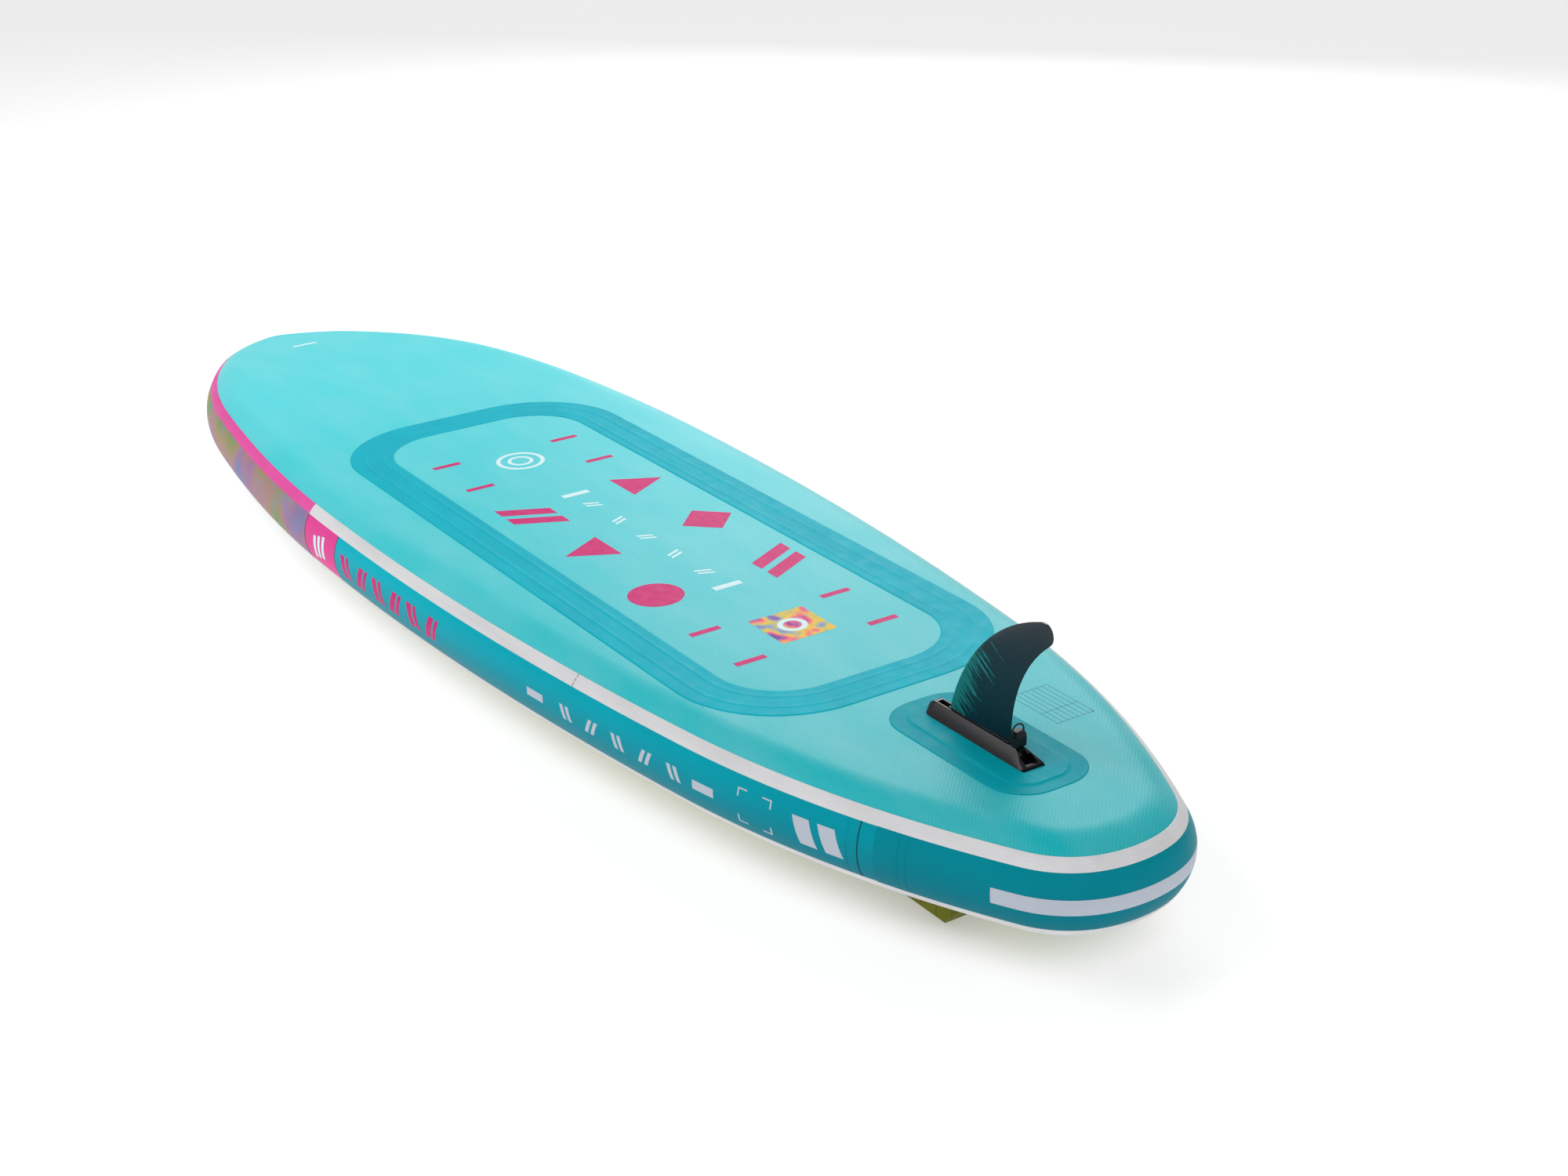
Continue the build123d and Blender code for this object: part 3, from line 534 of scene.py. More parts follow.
PINK = rgb(228, 68, 150)
M = {
    "hull": coated_cloth("hull_cloth", rgb(4, 184, 192), rgb(74, 222, 230)),
    "seam": tape_cloth("seam_cloth", rgb(0, 180, 198), rgb(0, 158, 178)),
    "patch": tape_cloth("patch_cloth", rgb(0, 160, 174), rgb(0, 140, 156)),
    # The rails' second colour is painted shade for their lower side, and also gives their deeper tone towards
    # the tail and in clouds
    "rail": rail_cloth("rail_teal", rgb(0, 182, 200), rgb(0, 112, 130), PINK),
    "rail_tail": rail_cloth("rail_teal_tail", rgb(0, 160, 176), rgb(0, 112, 128)),
    "dye": dyed_cloth("dyed_cloth", 7.0, PASTELS),
    "dye_print": dyed_cloth("dyed_print", 26.0, BRIGHTS),
    "pink_tape": tape_cloth("pink_tape", rgb(232, 88, 168), rgb(214, 66, 146)),
    "white_tape": tape_cloth("white_tape", rgb(222, 222, 224), rgb(196, 195, 196)),
    "deck": coated_cloth("deck_cloth", rgb(206, 208, 208), rgb(214, 216, 216), mark=0.12),
    "pink_ink": ink_and_shadow_paint("pink_ink", rgb(206, 18, 112), 0.05),
    "white_ink": ink_and_shadow_paint("white_ink", rgb(214, 240, 244), 0.2),
    "grey_ink": ink_and_shadow_paint("grey_ink", rgb(186, 194, 206)),
    "line_ink": ink_and_shadow_paint("line_ink", rgb(70, 84, 140)),
    # Painted shadow for the rail seam lines, laid on like ink
    "seam_shadow_paint": ink_and_shadow_paint("seam_shadow", rgb(0, 62, 78)),
    # Painted shadow for the tape joints, laid on like ink
    "join_shadow_paint": ink_and_shadow_paint("join_shadow", rgb(150, 150, 154)),
    "black": moulded_plastic("black_plastic", rgb(7, 7, 9), scuff=0.03),
    "charcoal": moulded_plastic("charcoal_plastic", rgb(12, 10, 18), 0.22, scuff=0.02),
    "grey": moulded_plastic("grey_plastic", rgb(130, 134, 138)),
    "fin": brushed_fin("fin_plastic"),
    "foam": grooved_foam("pad_foam", rgb(150, 158, 40), 0.034),
    "kick": grooved_foam("kick_foam", rgb(112, 114, 2), 0.017),
    "webbing": woven_webbing("black_webbing", rgb(26, 26, 28)),
    "steel": steel("stainless"),
    "rubber": soft_rubber("black_rubber", rgb(24, 24, 25)),
    "neoprene": soft_rubber("neoprene", rgb(44, 46, 50), 0.8),
    "thread": ink_and_shadow_paint("stitch_thread", rgb(225, 225, 220)),
    "inner": tape_cloth("inner_cloth", rgb(190, 190, 186), rgb(160, 160, 158)),
}


# ---------------------------------------------------------------- cloth skins
def make_skin(name, sign, material, node):
    """A hull or deck skin: flat across the board and rolled over its edge down to the joint with the rail."""
    rolled = [JOINT_ANGLE + (90 - JOINT_ANGLE) * i / 12 for i in range(13)]
    across = 28
    rows = []
    for s in STATIONS:
        left = [edge_point(s, 1, RAIL_R, sign * t) for t in rolled]
        right = [edge_point(s, -1, RAIL_R, sign * t) for t in reversed(rolled)]
        middle = [left[-1].lerp(right[0], j / across) for j in range(1, across)]
        rows.append(left + middle + right)
    columns = len(rows[0])
    skin = new_object(name, [p for row in rows for p in row], grid_faces(len(rows), columns))
    modify(skin, "SOLIDIFY", thickness=CLOTH, offset=-1)
    finish_piece(skin, "board", material, [node])


def strip(name, place, front, rear, section, material, node):
    """A strip round the edge whose section is a closed list of (radius, theta) points."""
    rings = [[edge_point(s, side, r, t) for r, t in section] for s, side in run_of(place, front, rear)]
    finish_piece(tube(name, rings), "board", material, [node], sharp=50)


def band_section(inner, outer, base, height, ridges=()):
    """A tape's closed section between two angles: thin at its edges, with low ridges along it."""
    steps = 34
    top, bottom = [], []
    for i in range(steps + 1):
        t = inner + (outer - inner) * i / steps
        share = i / steps
        edge = min(1.0, min(share, 1 - share) * steps / 1.5)
        bump = sum(0.45 * MM * math.exp(-(((share - place) * 22) ** 2)) for place in ridges)
        top.append((base + height * edge + bump, t))
        bottom.append((base - 0.2 * MM, t))
    return top + bottom[::-1]


def rail_section(radius):
    """The rail strip's closed section, one cloth thick."""
    angles = [-JOINT_ANGLE + 2 * JOINT_ANGLE * i / 24 for i in range(25)]
    return [(radius, t) for t in angles] + [(radius - CLOTH, t) for t in reversed(angles)]


def make_edge():
    """The rail's four strips and the tapes over their long joints."""
    middle = (NOSE_SEAM, TAIL_SEAM)
    lengths = {"nose": (NOSE, NOSE_SEAM), "left": middle, "right": middle, "tail": (TAIL_SEAM, TAIL)}
    lift = {"nose": END_LIFT, "left": 0.0, "right": 0.0, "tail": END_LIFT}
    for place, (front, rear) in lengths.items():
        cloth = {"nose": "dye", "tail": "rail_tail"}.get(place, "rail")
        section = rail_section(RAIL_R + lift[place])
        strip(f"rail_cloth_{place}", place, front, rear, section, M[cloth], f"rail_{place}")
        for face, sign in (("hull", 1), ("deck", -1)):
            section = band_section(sign * BAND_INNER, sign * BAND_OUTER, RAIL_R, TAPE, (0.3, 0.62))
            colour = "pink" if place == "nose" and face == "hull" else "white"
            name, node = f"{face}_tape_{place}", f"{face}_edge_band_{place}"
            strip(name, place, front, rear, section, M[f"{colour}_tape"], node)


def rounded_loop(size, centre_x, corner=14, straight=24):
    """Points of a rounded rectangle's outline in plan."""
    length, width, radius = size[0] / 2, size[1] / 2, size[2]
    points = []
    for cx, cy, start in ((1, 1, 0), (-1, 1, 90), (-1, -1, 180), (1, -1, 270)):
        ox, oy = cx * (length - radius), cy * (width - radius)
        for i in range(corner + 1):
            a = math.radians(start + 90 * i / corner)
            points.append(Vector((centre_x + ox + radius * math.cos(a), oy + radius * math.sin(a))))
    smooth = []
    for p, q in zip(points, points[1:] + points[:1]):
        count = straight if (q - p).length > 0.05 else 1
        smooth += [p.lerp(q, i / count) for i in range(count)]
    return smooth


def loop_band(name, outer, inner, centre_x, profile, material, node):
    """A flat band between two rounded rectangles; the profile is (share across it, height)."""
    loops = []
    for share, height in profile:
        size = tuple(a + (b - a) * share for a, b in zip(outer, inner))
        loops.append([Vector((p.x, p.y, HULL_Z + height)) for p in rounded_loop(size, centre_x)])
    count = len(loops[0])
    vertices = [p for loop in loops for p in loop]
    faces = grid_faces(len(loops), count, closed=True)
    last = (len(loops) - 1) * count
    faces += [(last + j, last + (j + 1) % count, (j + 1) % count, j) for j in range(count)]
    piece = new_object(name, vertices, faces)
    finish_piece(piece, "board", material, [node], sharp=50)


def band_profile(height, ridges, steps=40):
    """Heights across a flat band: up from the cloth, along with its ridges, and down to just under it."""
    found = [(0.0, -0.3 * MM), (0.0, 0.15 * MM)]
    for i in range(1, steps):
        share = i / steps
        edge = min(1.0, min(share, 1 - share) * steps)
        bump = sum(0.6 * MM * math.exp(-(((share - place) * 26) ** 2)) for place in ridges)
        found.append((share, height * edge + bump))
    return found + [(1.0, 0.15 * MM), (1.0, -0.3 * MM)]


def make_hull_patches():
    """The chamber's seam ring and the fin's patch, with the folds that the layers under them raise."""
    loop_band(
        "chamber_ring_tape", RING_OUTER, RING_INNER, RING_X, band_profile(TAPE, (0.34, 0.74)),
        M["seam"], "chamber_ring_band",
    )
    box_low, box_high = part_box("fin_box")
    hole = (box_high.x - box_low.x - 3 * MM, 39 * MM, 10 * MM)
    profile = [(0.0, -0.3 * MM), (0.0, 0.2 * MM), (0.02, 1.0 * MM)]
    for i in range(1, 30):
        share = i / 30
        raised = 1.6 * MM / (1 + math.exp(-(share - 0.46) * 45))
        ridge = 0.7 * MM * math.exp(-(((share - 0.47) * 22) ** 2))
        profile.append((share, TAPE + raised + ridge))
    profile += [(1.0, 2.4 * MM), (1.0, -0.3 * MM)]
    loop_band("fin_patch_cloth", PATCH_SIZE, hole, PATCH_X, profile, M["patch"], "fin_patch")


# ---------------------------------------------------------------- prints
def flat_print(name, outlines, material, lift=0.12 * MM):
    """Ink on the hull: flat closed shapes given by outlines in plan, lying on the cloth."""
    vertices, faces = [], []
    thick = 0.25 * MM
    for outline in outlines:
        count = len(outline)
        start = len(vertices)
        for drop in (lift, lift - thick):
            vertices += [Vector((x, y, HULL_Z + rocker(x) + drop)) for x, y in outline]
        faces.append(tuple(start + i for i in range(count)))
        faces.append(tuple(start + count + i for i in reversed(range(count))))
        for i in range(count):
            j = (i + 1) % count
            faces.append((start + j, start + i, start + count + i, start + count + j))
    piece = new_object(name, vertices, faces, smooth=False)
    finish_piece(piece, "board", material)


def bar(x, y, length_x, length_y, skew=0.0):
    """A four-cornered shape round a point, its far side shifted by skew."""
    a, b = length_x / 2, length_y / 2
    return [(x - a - skew, y - b), (x + a - skew, y - b), (x + a + skew, y + b), (x - a + skew, y + b)]


def ring_pieces(x, y, outer, inner, count=36):
    """A ring as a row of small quads, so that each is a simple face."""
    found = []
    for i in range(count):
        a, b = 2 * math.pi * i / count, 2 * math.pi * (i + 1) / count
        corners = ((inner, a), (outer, a), (outer, b), (inner, b))
        found.append([(x + r * math.cos(t), y + r * math.sin(t)) for r, t in corners])
    return found


def disc(x, y, radius):
    """A plain disc."""
    angles = [math.pi * i / 24 for i in range(48)]
    return [(x + radius * math.cos(t), y + radius * math.sin(t)) for t in angles]


def diamond(x, y, reach):
    """A square on its corner."""
    return [(x - reach, y), (x, y - reach), (x + reach, y), (x, y + reach)]


def triangle(x, y, reach):
    """A triangle with its point across the board, to the side that the sign of reach gives."""
    half = abs(reach)
    base, point = y - reach * 0.9, y + reach * 0.9
    corners = [(x - half, base), (x + half, base), (x, point)]
    return corners if reach > 0 else [corners[0], corners[2], corners[1]]


def make_hull_prints():
    """Plain shapes on the hull: dashes, bars, polygons, a disc, rings, a dyed square and a line grid."""
    dash_y, dash_length, dash_width = 0.122, 0.054, 0.013
    dashes = []
    for x in (1.780, 1.643, 0.880, 0.751):
        for side in (1, -1):
            dashes.append(bar(at(x), side * dash_y, dash_width, dash_length))
    flat_print("pink_dashes", dashes, M["pink_ink"])

    near, far = 0.112, -0.124
    shapes = [
        bar(at(1.488), near, 0.030, 0.086, 0.022),
        bar(at(1.442), near, 0.030, 0.086, 0.022),
        triangle(at(1.270), near, 0.046),
        disc(at(1.044), near, 0.046),
        triangle(at(1.491), far, -0.046),
        diamond(at(1.269), far, 0.050),
        bar(at(1.068), far, 0.030, 0.086, -0.022),
        bar(at(1.022), far, 0.030, 0.086, -0.022),
    ]
    flat_print("pink_shapes", shapes, M["pink_ink"])

    whites = [bar(at(x), 0, 0.014, 0.052) for x in (1.512, 1.008)]
    for first in (1.456, 1.444):
        whites += [bar(at(first - 0.093 * i), 0, 0.006, 0.026, 0.006 * (-1) ** i) for i in range(5)]
    whites += ring_pieces(at(1.722), 0, 0.045, 0.037)
    whites += ring_pieces(at(1.722), 0, 0.024, 0.017)
    whites.append(bar(at(2.745), 0, 0.014, 0.054))
    flat_print("white_marks", whites, M["white_ink"])

    flat_print("dyed_square", [bar(at(0.820), 0, 0.100, 0.100)], M["dye_print"])
    flat_print("square_ring", ring_pieces(at(0.820), 0.0, 0.024, 0.015), M["white_ink"], lift=0.2 * MM)

    grid = []
    left, low, wide, tall = at(0.322), -0.180, 0.105, 0.066
    for i in range(8):
        grid.append(bar(left + wide / 2, low + tall * i / 7, wide, 0.0007))
    for share in (0, 0.35, 1):
        grid.append(bar(left + wide * share, low + tall / 2, 0.0007, tall))
    flat_print("line_grid", grid, M["line_ink"])


def rail_overlay(name, side, shapes, material, lift=0.2 * MM, depth=0.3 * MM):
    """Ink and painted shadow strips on the rail: each shape is (front x, rear x, low angle, high angle,
    slant), laid round the rail.
    """
    vertices, faces = [], []
    for front, rear, low, high, slant in shapes:
        count = max(2, math.ceil((front - rear) / 0.01))
        rows = max(3, math.ceil((high - low) / 3))
        start = len(vertices)
        for layer in (RAIL_R + lift, RAIL_R + lift - depth):
            for i in range(count + 1):
                for j in range(rows + 1):
                    t = low + (high - low) * j / rows
                    x = front + (rear - front) * i / count + slant * (2 * j / rows - 1)
                    vertices.append(edge_point(station_at(x), side, layer, t))
        size = (count + 1) * (rows + 1)
        top = grid_faces(count + 1, rows + 1)
        faces += [tuple(start + v for v in f) for f in top]
        faces += [tuple(start + size + v for v in reversed(f)) for f in top]
        rim = list(range(rows + 1))
        rim += [i * (rows + 1) + rows for i in range(1, count + 1)]
        rim += [count * (rows + 1) + j for j in reversed(range(rows))]
        rim += [i * (rows + 1) for i in reversed(range(1, count))]
        for a, b in zip(rim, rim[1:] + rim[:1]):
            faces.append((start + a, start + size + a, start + size + b, start + b))
    piece = new_object(name, vertices, faces)
    finish_piece(piece, "board", material, sharp=40)


def station_at(x):
    """The left station whose outline point is at x, by linear interpolation."""
    for a, b in zip(STATIONS, STATIONS[1:]):
        if a[3] >= x >= b[3] and a[3] > b[3]:
            k = (a[3] - x) / (a[3] - b[3])
            return tuple(p + (q - p) * k for p, q in zip(a, b))
    return STATIONS[-1]


def make_rail_prints():
    """Plain bars, dashes and corner marks on both rails, painted shadow strips along the rail seam lines and
    tape joints, and the pale strip round the tail.
    """
    for side, word in ((1, "left"), (-1, "right")):
        grey = [
            (at(0.998), at(0.955), -4, 6, 0.0),
            (at(0.596), at(0.553), -6, 5, 0.0),
            (at(0.402), at(0.374), -15, 16, 0.007),
            (at(0.360), at(0.332), -15, 16, 0.007),
        ]
        for i in range(5):
            x = 0.648 + 0.0645 * i
            grey += [(at(x + dx), at(x + dx - 0.008), -8, 9, 0.005 * (-1) ** i) for dx in (0, -0.014)]
        for x, along in ((0.507, -1), (0.445, 1)):
            for theta, up in ((21, -1), (-21, 1)):
                ends = sorted((at(x), at(x) + along * 0.017), reverse=True)
                grey.append((*ends, *sorted((theta, theta + up * 1.6)), 0.0))
                ends = sorted((at(x), at(x) + along * 0.0025), reverse=True)
                grey.append((*ends, *sorted((theta, theta + up * 10)), 0.0))
        rail_overlay(f"grey_rail_marks_{word}", side, grey, M["grey_ink"])
        pink = []
        for i in range(6):
            x = 1.628 - 0.064 * i
            pink.append((at(x), at(x) - 0.016, -14, 16, 0.007 * (-1) ** i))
            pink.append((at(x) - 0.022, at(x) - 0.032, -14, 16, 0.007 * (-1) ** i))
        rail_overlay(f"pink_rail_marks_{word}", side, pink, M["pink_ink"])
        pale = []
        for i in range(3):
            x = 1.752 - 0.018 * i
            pale.append((at(x), at(x - 0.010), -18 + 3 * i, 14 + 3 * i, 0.0))
        rail_overlay(f"pale_rail_marks_{word}", side, pale, M["white_ink"])
        # Painted shadow: thin dark strips along the rail cloth's seam lines
        seam_shadow_strips = [(at(x + 0.0013), at(x), -34, 34, 0.0) for x in (0.3022, 1.7925)]
        rail_overlay(f"rail_seam_shadows_{word}", side, seam_shadow_strips, M["seam_shadow_paint"], 0.65 * MM)
        folds = [(at(x + 0.0014), at(x), -33, 33, 0.0) for x in (0.232, 0.244)]
        rail_overlay(f"rail_folds_{word}", side, folds, M["rail_tail"], 0.80 * MM, 0.5 * MM)
        fold = [(at(0.3214), at(0.320), -33, 33, 0.0)]
        rail_overlay(f"rail_fold_{word}", side, fold, M["rail"], 0.3 * MM, 0.5 * MM)
        # Painted shadow: thin grey strips where the edge tapes meet
        join_shadow_strips = [(at(x + 0.0018), at(x), 34.6, 50.2, 0.0) for x in (2.367, 0.890)]
        rail_overlay(f"tape_join_shadows_{word}", side, join_shadow_strips, M["join_shadow_paint"], TAPE + 0.3 * MM)
    low, high = -10.0, 7.5
    part = [s for s in STATIONS if s[3] < at(0.118)]
    run = [(s, 1) for s in part] + [(s, -1) for s in reversed(part[:-1])]
    steps = 8
    angles = [low + (high - low) * i / steps for i in range(steps + 1)]
    base = RAIL_R + END_LIFT
    section = [(base + 0.25 * MM, t) for t in angles] + [(base - 0.1 * MM, t) for t in reversed(angles)]
    rings = [[edge_point(s, side, r, t) for r, t in section] for s, side in run]
    finish_piece(tube("tail_strip", rings), "board", M["grey_ink"], sharp=40)


# ---------------------------------------------------------------- fin
def arc_x(z, a, b, c):
    """x at height z on the circle through three (x, z) points, on the side where b lies."""
    (x1, z1), (x2, z2), (x3, z3) = a, b, c
    d = 2 * (x1 * (z2 - z3) + x2 * (z3 - z1) + x3 * (z1 - z2))
    s1, s2, s3 = x1**2 + z1**2, x2**2 + z2**2, x3**2 + z3**2
    ux = (s1 * (z2 - z3) + s2 * (z3 - z1) + s3 * (z1 - z2)) / d
    uz = (s1 * (x3 - x2) + s2 * (x1 - x3) + s3 * (x2 - x1)) / d
    r = math.hypot(x1 - ux, z1 - uz)
    side = 1 if x2 > ux else -1
    return ux + side * math.sqrt(max(0.0, r * r - (z - uz) ** 2))


def foil_ring(front, rear, half, z, count=32):
    """One level of the fin: a foil with a round leading edge and a thin trailing edge."""
    ring = []
    for i in range(count):
        t = 2 * math.pi * i / count
        along = (1 - math.cos(t)) / 2
        thick = 2.6 * (math.sqrt(along + 1e-9) - along**1.6) * half
        thick = max(thick, 0.0 if i in (0, count // 2) else 0.35 * MM)
        side = 1 if math.sin(t) >= 0 else -1
        ring.append(Vector((front - (front - rear) * along, thick * side, z)))
    return ring


def make_fin():
    """The fin: a raked foil, its neck and the foot that slides in the box."""
    _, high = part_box("fin")
    root_z, tip_z = HULL_Z + FIN_ROOT_UP, high.z
    span = tip_z - root_z
    tip_low = (FIN_TIP_LOW_X, tip_z - FIN_TIP_DROP)
    lead = ((FIN_ROOT_FRONT, root_z), FIN_LEAD_MIDDLE, (FIN_TIP_FRONT, tip_z))
    trail = ((FIN_ROOT_REAR, root_z), (FIN_TRAIL_MIDDLE_X, tip_z - FIN_TRAIL_DROP), tip_low)
    tip = ((FIN_TIP_FRONT, tip_z), (FIN_TIP_REAR, tip_z - FIN_TIP_REAR_DROP), tip_low)
    shares = [i / 40 for i in range(36)]
    shares += [0.875 + 0.125 * math.sin(math.pi / 2 * i / 14) for i in range(1, 15)]
    rings = []
    for share in shares:
        z = root_z + span * min(share, 0.9985)
        front = arc_x(z, *lead)
        rear = arc_x(z, *(trail if z < tip_low[1] else tip))
        rear = min(rear, front - 1.0 * MM)
        rings.append(foil_ring(front, rear, (4.1 - 2.4 * share) * MM, z))
    finish_piece(tube("fin_blade", rings), "fin_unit", M["fin"], ["fin"], sharp=35)

    foot_low, foot_high = HULL_Z + 5.3 * MM, HULL_Z + 14.3 * MM
    blocks = {
        "fin_neck": (FIN_ROOT_REAR, FIN_ROOT_FRONT, 4.4 * MM, foot_high - 1 * MM, root_z + 0.5 * MM),
        "fin_foot": (at(0.286), at(0.444), 10.0 * MM, foot_low, foot_high),
    }
    for name, (rear, front, half, base, top) in blocks.items():
        corners = ((-half, base), (half, base), (half, top), (-half, top))
        block = tube(name, [[Vector((x, y, z)) for y, z in corners] for x in (rear, front)])
        finish_piece(block, "fin_unit", M["charcoal"], sharp=35)
        bevel(block, 0.8 * MM, 2)


def box_ring(x, half):
    """A section of the fin box at x: the given half of (y, height) points and its mirror image."""
    return [Vector((x, y, HULL_Z + z)) for y, z in half + [(-y, z) for y, z in reversed(half)]]


def make_fin_box():
    """The fin box: sloped side walls over a slotted channel, a rounded nose and a ramp at its open rear."""
    low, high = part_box("fin_box")
    top = high.z - HULL_Z
    rear, front = low.x - 5 * MM, high.x - BOX_NOSE

    def wall(z, width=BOX_FOOT):
        return width + (BOX_LIP - BOX_FOOT) * z / top

    # How far along from the rear end, and how high the ramp is there, in millimetres
    ramp = ((0, 4.6), (1, 6.2), (9, 10.5), (17, 14.5), (18, 15.2), (25, 19.4))
    places = [(rear + x * MM, h * MM) for x, h in ramp] + [(rear + 29 * MM, top), (front, top)]
    rings = []
    for x, h in places:
        open_lip = BOX_SLOT if h > BOX_SHELF else BOX_CHANNEL
        width = BOX_FOOT - (3 * MM if x == rear else 0.0)
        shelf, shoulder = min(h, BOX_SHELF), h * 0.85
        floor = min(BOX_FLOOR, h - 0.3 * MM)
        half = [
            (width, -0.3 * MM), (wall(shoulder, width), shoulder), (wall(h, width) - 1.2 * MM, h),
            (open_lip, h), (open_lip, shelf), (BOX_CHANNEL, shelf), (BOX_CHANNEL, floor),
        ]
        rings.append(box_ring(x, half))
    shell = tube("fin_box_shell", rings)

    nose = []
    reach = high.x - front
    for i in range(13):
        a = math.pi / 2 * i / 12
        width = math.cos(a) ** 0.8 if i < 12 else 0.05
        h = top * (1 - (1 - math.cos(a)) * 0.75)
        shoulder = h * 0.85
        half = [
            (BOX_FOOT * width, -0.3 * MM), (wall(shoulder) * width, shoulder),
            (max(0.4 * MM, (wall(h) - 1.2 * MM) * width), h),
        ]
        nose.append(box_ring(front - 0.5 * MM + (reach + 0.5 * MM) * math.sin(a), half))
    cap = tube("fin_box_nose", nose)
    finish_piece(cap, "board", M["charcoal"], sharp=35)
    finish_piece(shell, "board", M["charcoal"], ["fin_box"], sharp=35)
    bevel(shell, 0.5 * MM, 2)


def place_cad_materials():
    """Gives every CAD node that stays its material, and softens the edges of the moulded ones."""
    plain = {
        "chamber_wall": "inner", "inner_drop_threads": "thread", "outer_drop_threads": "thread",
        "deck_pad": "foam", "kick_pad": "kick",
        "fin_clip": "black", "fin_clip_loop": "rubber", "handle_webbing": "webbing", "handle_patches": "deck",
        "cargo_ring_patches": "patch", "cargo_ring_webbing": "webbing",
        "leash_ring_patches": "patch", "leash_ring_webbing": "webbing",
    }
    valve = {
        "body": "grey", "nut": "grey", "plunger": "black", "seal": "rubber",
        "spring": "steel", "gasket": "rubber", "cap": "black", "tether": "rubber",
    }
    for name in NODES:
        if name.startswith("d_ring_"):
            plain[name] = "steel"
        for piece, material in valve.items():
            if name.endswith(f"_valve_{piece}"):
                plain[name] = material
    bevels = {"fin_clip": 0.8, "deck_pad": 1.6, "kick_pad": 2.0}
    bevels.update({n: 0.5 for n in plain if n.endswith(("_valve_body", "_valve_cap", "_valve_tether"))})
    for name, material in plain.items():
        node = NODES[name]
        node.data.materials.clear()
        node.data.materials.append(M[material])
        if name in bevels:
            bevel(node, bevels[name] * MM, 3)


def make_grip():
    """The soft sleeve round the carry handle's webbing: a padded oval tube."""
    low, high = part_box("handle_grip")
    centre_x = (low.x + high.x) / 2
    radius = (HANDLE_HALF_SPAN**2 + HANDLE_SAG**2) / (2 * HANDLE_SAG)
    centre_z = DECK_Z - HANDLE_PATCH - HANDLE_SAG + radius - WEBBING / 2
    reach = (high.x - low.x) / 2 / radius
    rings = []
    for i in range(41):
        share = 2 * i / 40 - 1
        a = reach * share
        swell = 1.0 - 0.10 * share**2 - (0.28 if abs(share) > 0.985 else 0.0)
        ring = []
        for j in range(28):
            t = 2 * math.pi * j / 28
            y = 0.0225 * swell * math.copysign(abs(math.cos(t)) ** 0.75, math.cos(t))
            out = 0.0068 * swell * math.copysign(abs(math.sin(t)) ** 0.9, math.sin(t))
            r = radius + out
            ring.append(Vector((centre_x + r * math.sin(a), y, centre_z - r * math.cos(a))))
        rings.append(ring)
    grip = tube("soft_grip", rings)
    finish_piece(grip, "board", M["neoprene"], ["handle_grip"], sharp=50)


def stitch(x, y, along, z):
    """The vertices of one short raised thread, thinner at its ends."""
    half, wide, tall = 0.0014, 0.0005, 0.0004
    dx, dy = along
    found = []
    for step, size in ((-1, 0.5), (0, 1.0), (1, 0.5)):
        for across, up in ((-1, 0), (0, 1), (1, 0), (0, -0.3)):
            px = x + dx * half * step - dy * wide * across * size
            py = y + dy * half * step + dx * wide * across * size
            found.append(Vector((px, py, z - tall * up * size)))
    return found


def make_stitches():
    """Box stitching on the handle's webbing ends."""
    low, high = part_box("handle_webbing")
    z = DECK_Z - HANDLE_PATCH - WEBBING
    lines = []
    for side in (-1, 1):
        outer = (low.x if side < 0 else high.x) - side * 0.005
        inner = outer - side * 0.030
        corners = [(outer, -0.015), (inner, -0.015), (inner, 0.015), (outer, 0.015)]
        lines += list(zip(corners, corners[1:] + corners[:1]))
        lines += [(corners[0], corners[2]), (corners[1], corners[3])]
    vertices, faces = [], []
    for (x1, y1), (x2, y2) in lines:
        length = math.hypot(x2 - x1, y2 - y1)
        count = max(2, round(length / 0.004))
        along = (x2 - x1) / length, (y2 - y1) / length
        for i in range(count):
            share = length * (i + 0.5) / count
            start = len(vertices)
            vertices += stitch(x1 + along[0] * share, y1 + along[1] * share, along, z)
            faces += [tuple(start + v for v in f) for f in grid_faces(3, 4, closed=True)]
            faces.append((start + 3, start + 2, start + 1, start))
            faces.append((start + 8, start + 9, start + 10, start + 11))
    piece = new_object("handle_stitches", vertices, faces)
    finish_piece(piece, "board", M["thread"])


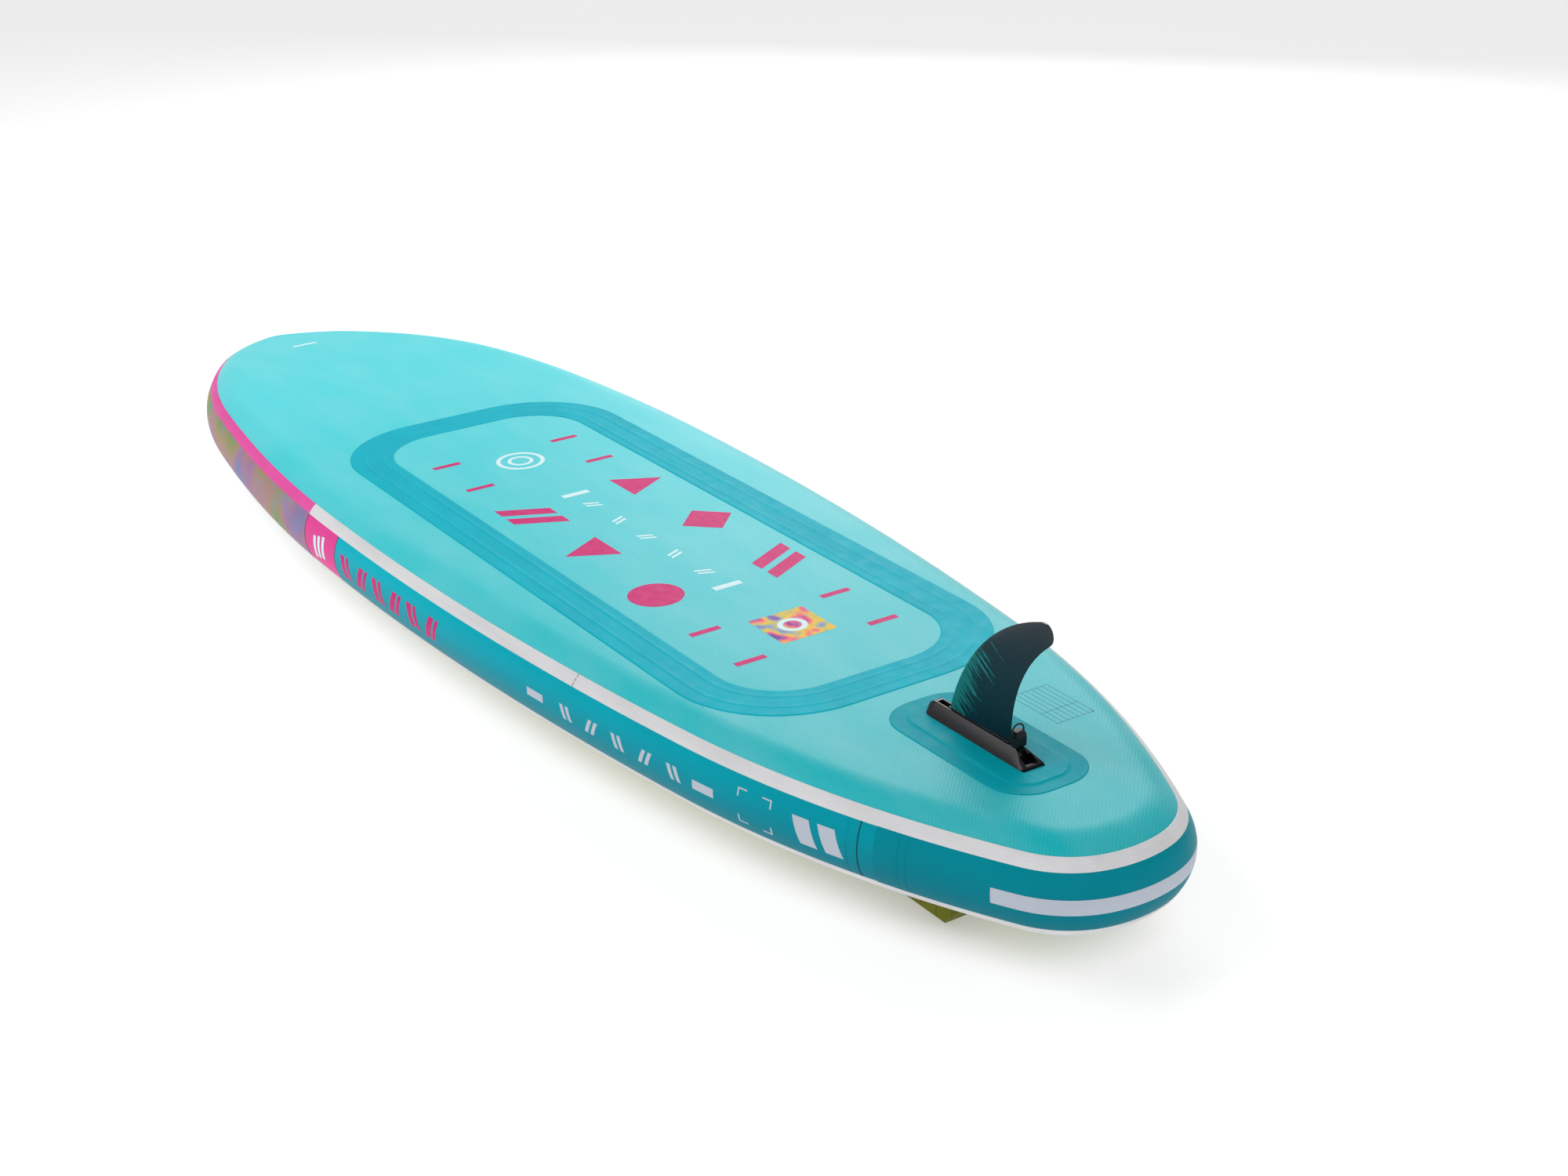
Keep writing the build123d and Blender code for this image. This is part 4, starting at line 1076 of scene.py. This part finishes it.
# ---------------------------------------------------------------- stage and build
def make_stage():
    """A plain pale floor, soft lights and the camera."""
    bpy.ops.mesh.primitive_plane_add(size=60, location=(0, 0, -0.5 * MM))
    floor = bpy.context.active_object
    floor.name = "floor"
    n = Nodes("floor_paper")
    vector, _ = n.place()
    cloud = n.noise(vector, 0.6, 2)
    n.shader.inputs["Emission Color"].default_value = (1, 1, 1, 1)
    n.finish(n.mix(cloud, (0.86, 0.86, 0.86, 1), (0.88, 0.88, 0.88, 1)), 0.9, **{"Emission Strength": 0.34})
    floor.data.materials.append(n.material)

    world = bpy.data.worlds.new("studio")
    bpy.context.scene.world = world
    world.use_nodes = True
    world.node_tree.nodes["Background"].inputs[0].default_value = (1, 1, 1, 1)
    world.node_tree.nodes["Background"].inputs[1].default_value = 0.55

    lights = [
        ((1.0, 2.4, 3.2), 2.6, 52),
        ((2.6, -3.0, 2.4), 3.0, 95),
        ((-3.2, 0.6, 2.2), 2.0, 12),
    ]
    for i, (place, size, power) in enumerate(lights):
        data = bpy.data.lights.new(f"softbox_{i}", "AREA")
        data.size = size
        data.energy = power
        lamp = bpy.data.objects.new(f"softbox_{i}", data)
        lamp.location = place
        lamp.rotation_euler = (Vector((0, 0, 0.1)) - Vector(place)).to_track_quat("-Z", "Y").to_euler()
        bpy.context.scene.collection.objects.link(lamp)

    az, el, roll = (math.radians(v) for v in (CAMERA_AZIMUTH, CAMERA_ELEVATION, CAMERA_ROLL))
    back = Vector((math.sin(az) * math.cos(el), -math.cos(az) * math.cos(el), math.sin(el)))
    right = (-back).cross(Vector((0, 0, 1))).normalized()
    up = right.cross(-back)
    turned_right = right * math.cos(roll) + up * math.sin(roll)
    turned_up = up * math.cos(roll) - right * math.sin(roll)
    camera = bpy.data.objects.new("camera", bpy.data.cameras.new("camera"))
    camera.data.sensor_width = 36
    camera.data.lens = CAMERA_LENS
    camera.data.clip_end = 100
    axes = Matrix((turned_right, turned_up, back)).transposed().to_4x4()
    camera.matrix_world = Matrix.Translation(CAMERA_TARGET + back * CAMERA_DISTANCE) @ axes
    bpy.context.scene.collection.objects.link(camera)
    bpy.context.scene.camera = camera
    bpy.context.scene.view_settings.view_transform = "Standard"


make_stage()
make_skin("hull_cloth", 1, M["hull"], "hull_skin")
make_skin("deck_cloth", -1, M["deck"], "deck_skin")
make_edge()
make_hull_patches()
make_hull_prints()
make_rail_prints()
make_fin()
make_fin_box()
place_cad_materials()
make_grip()
make_stitches()
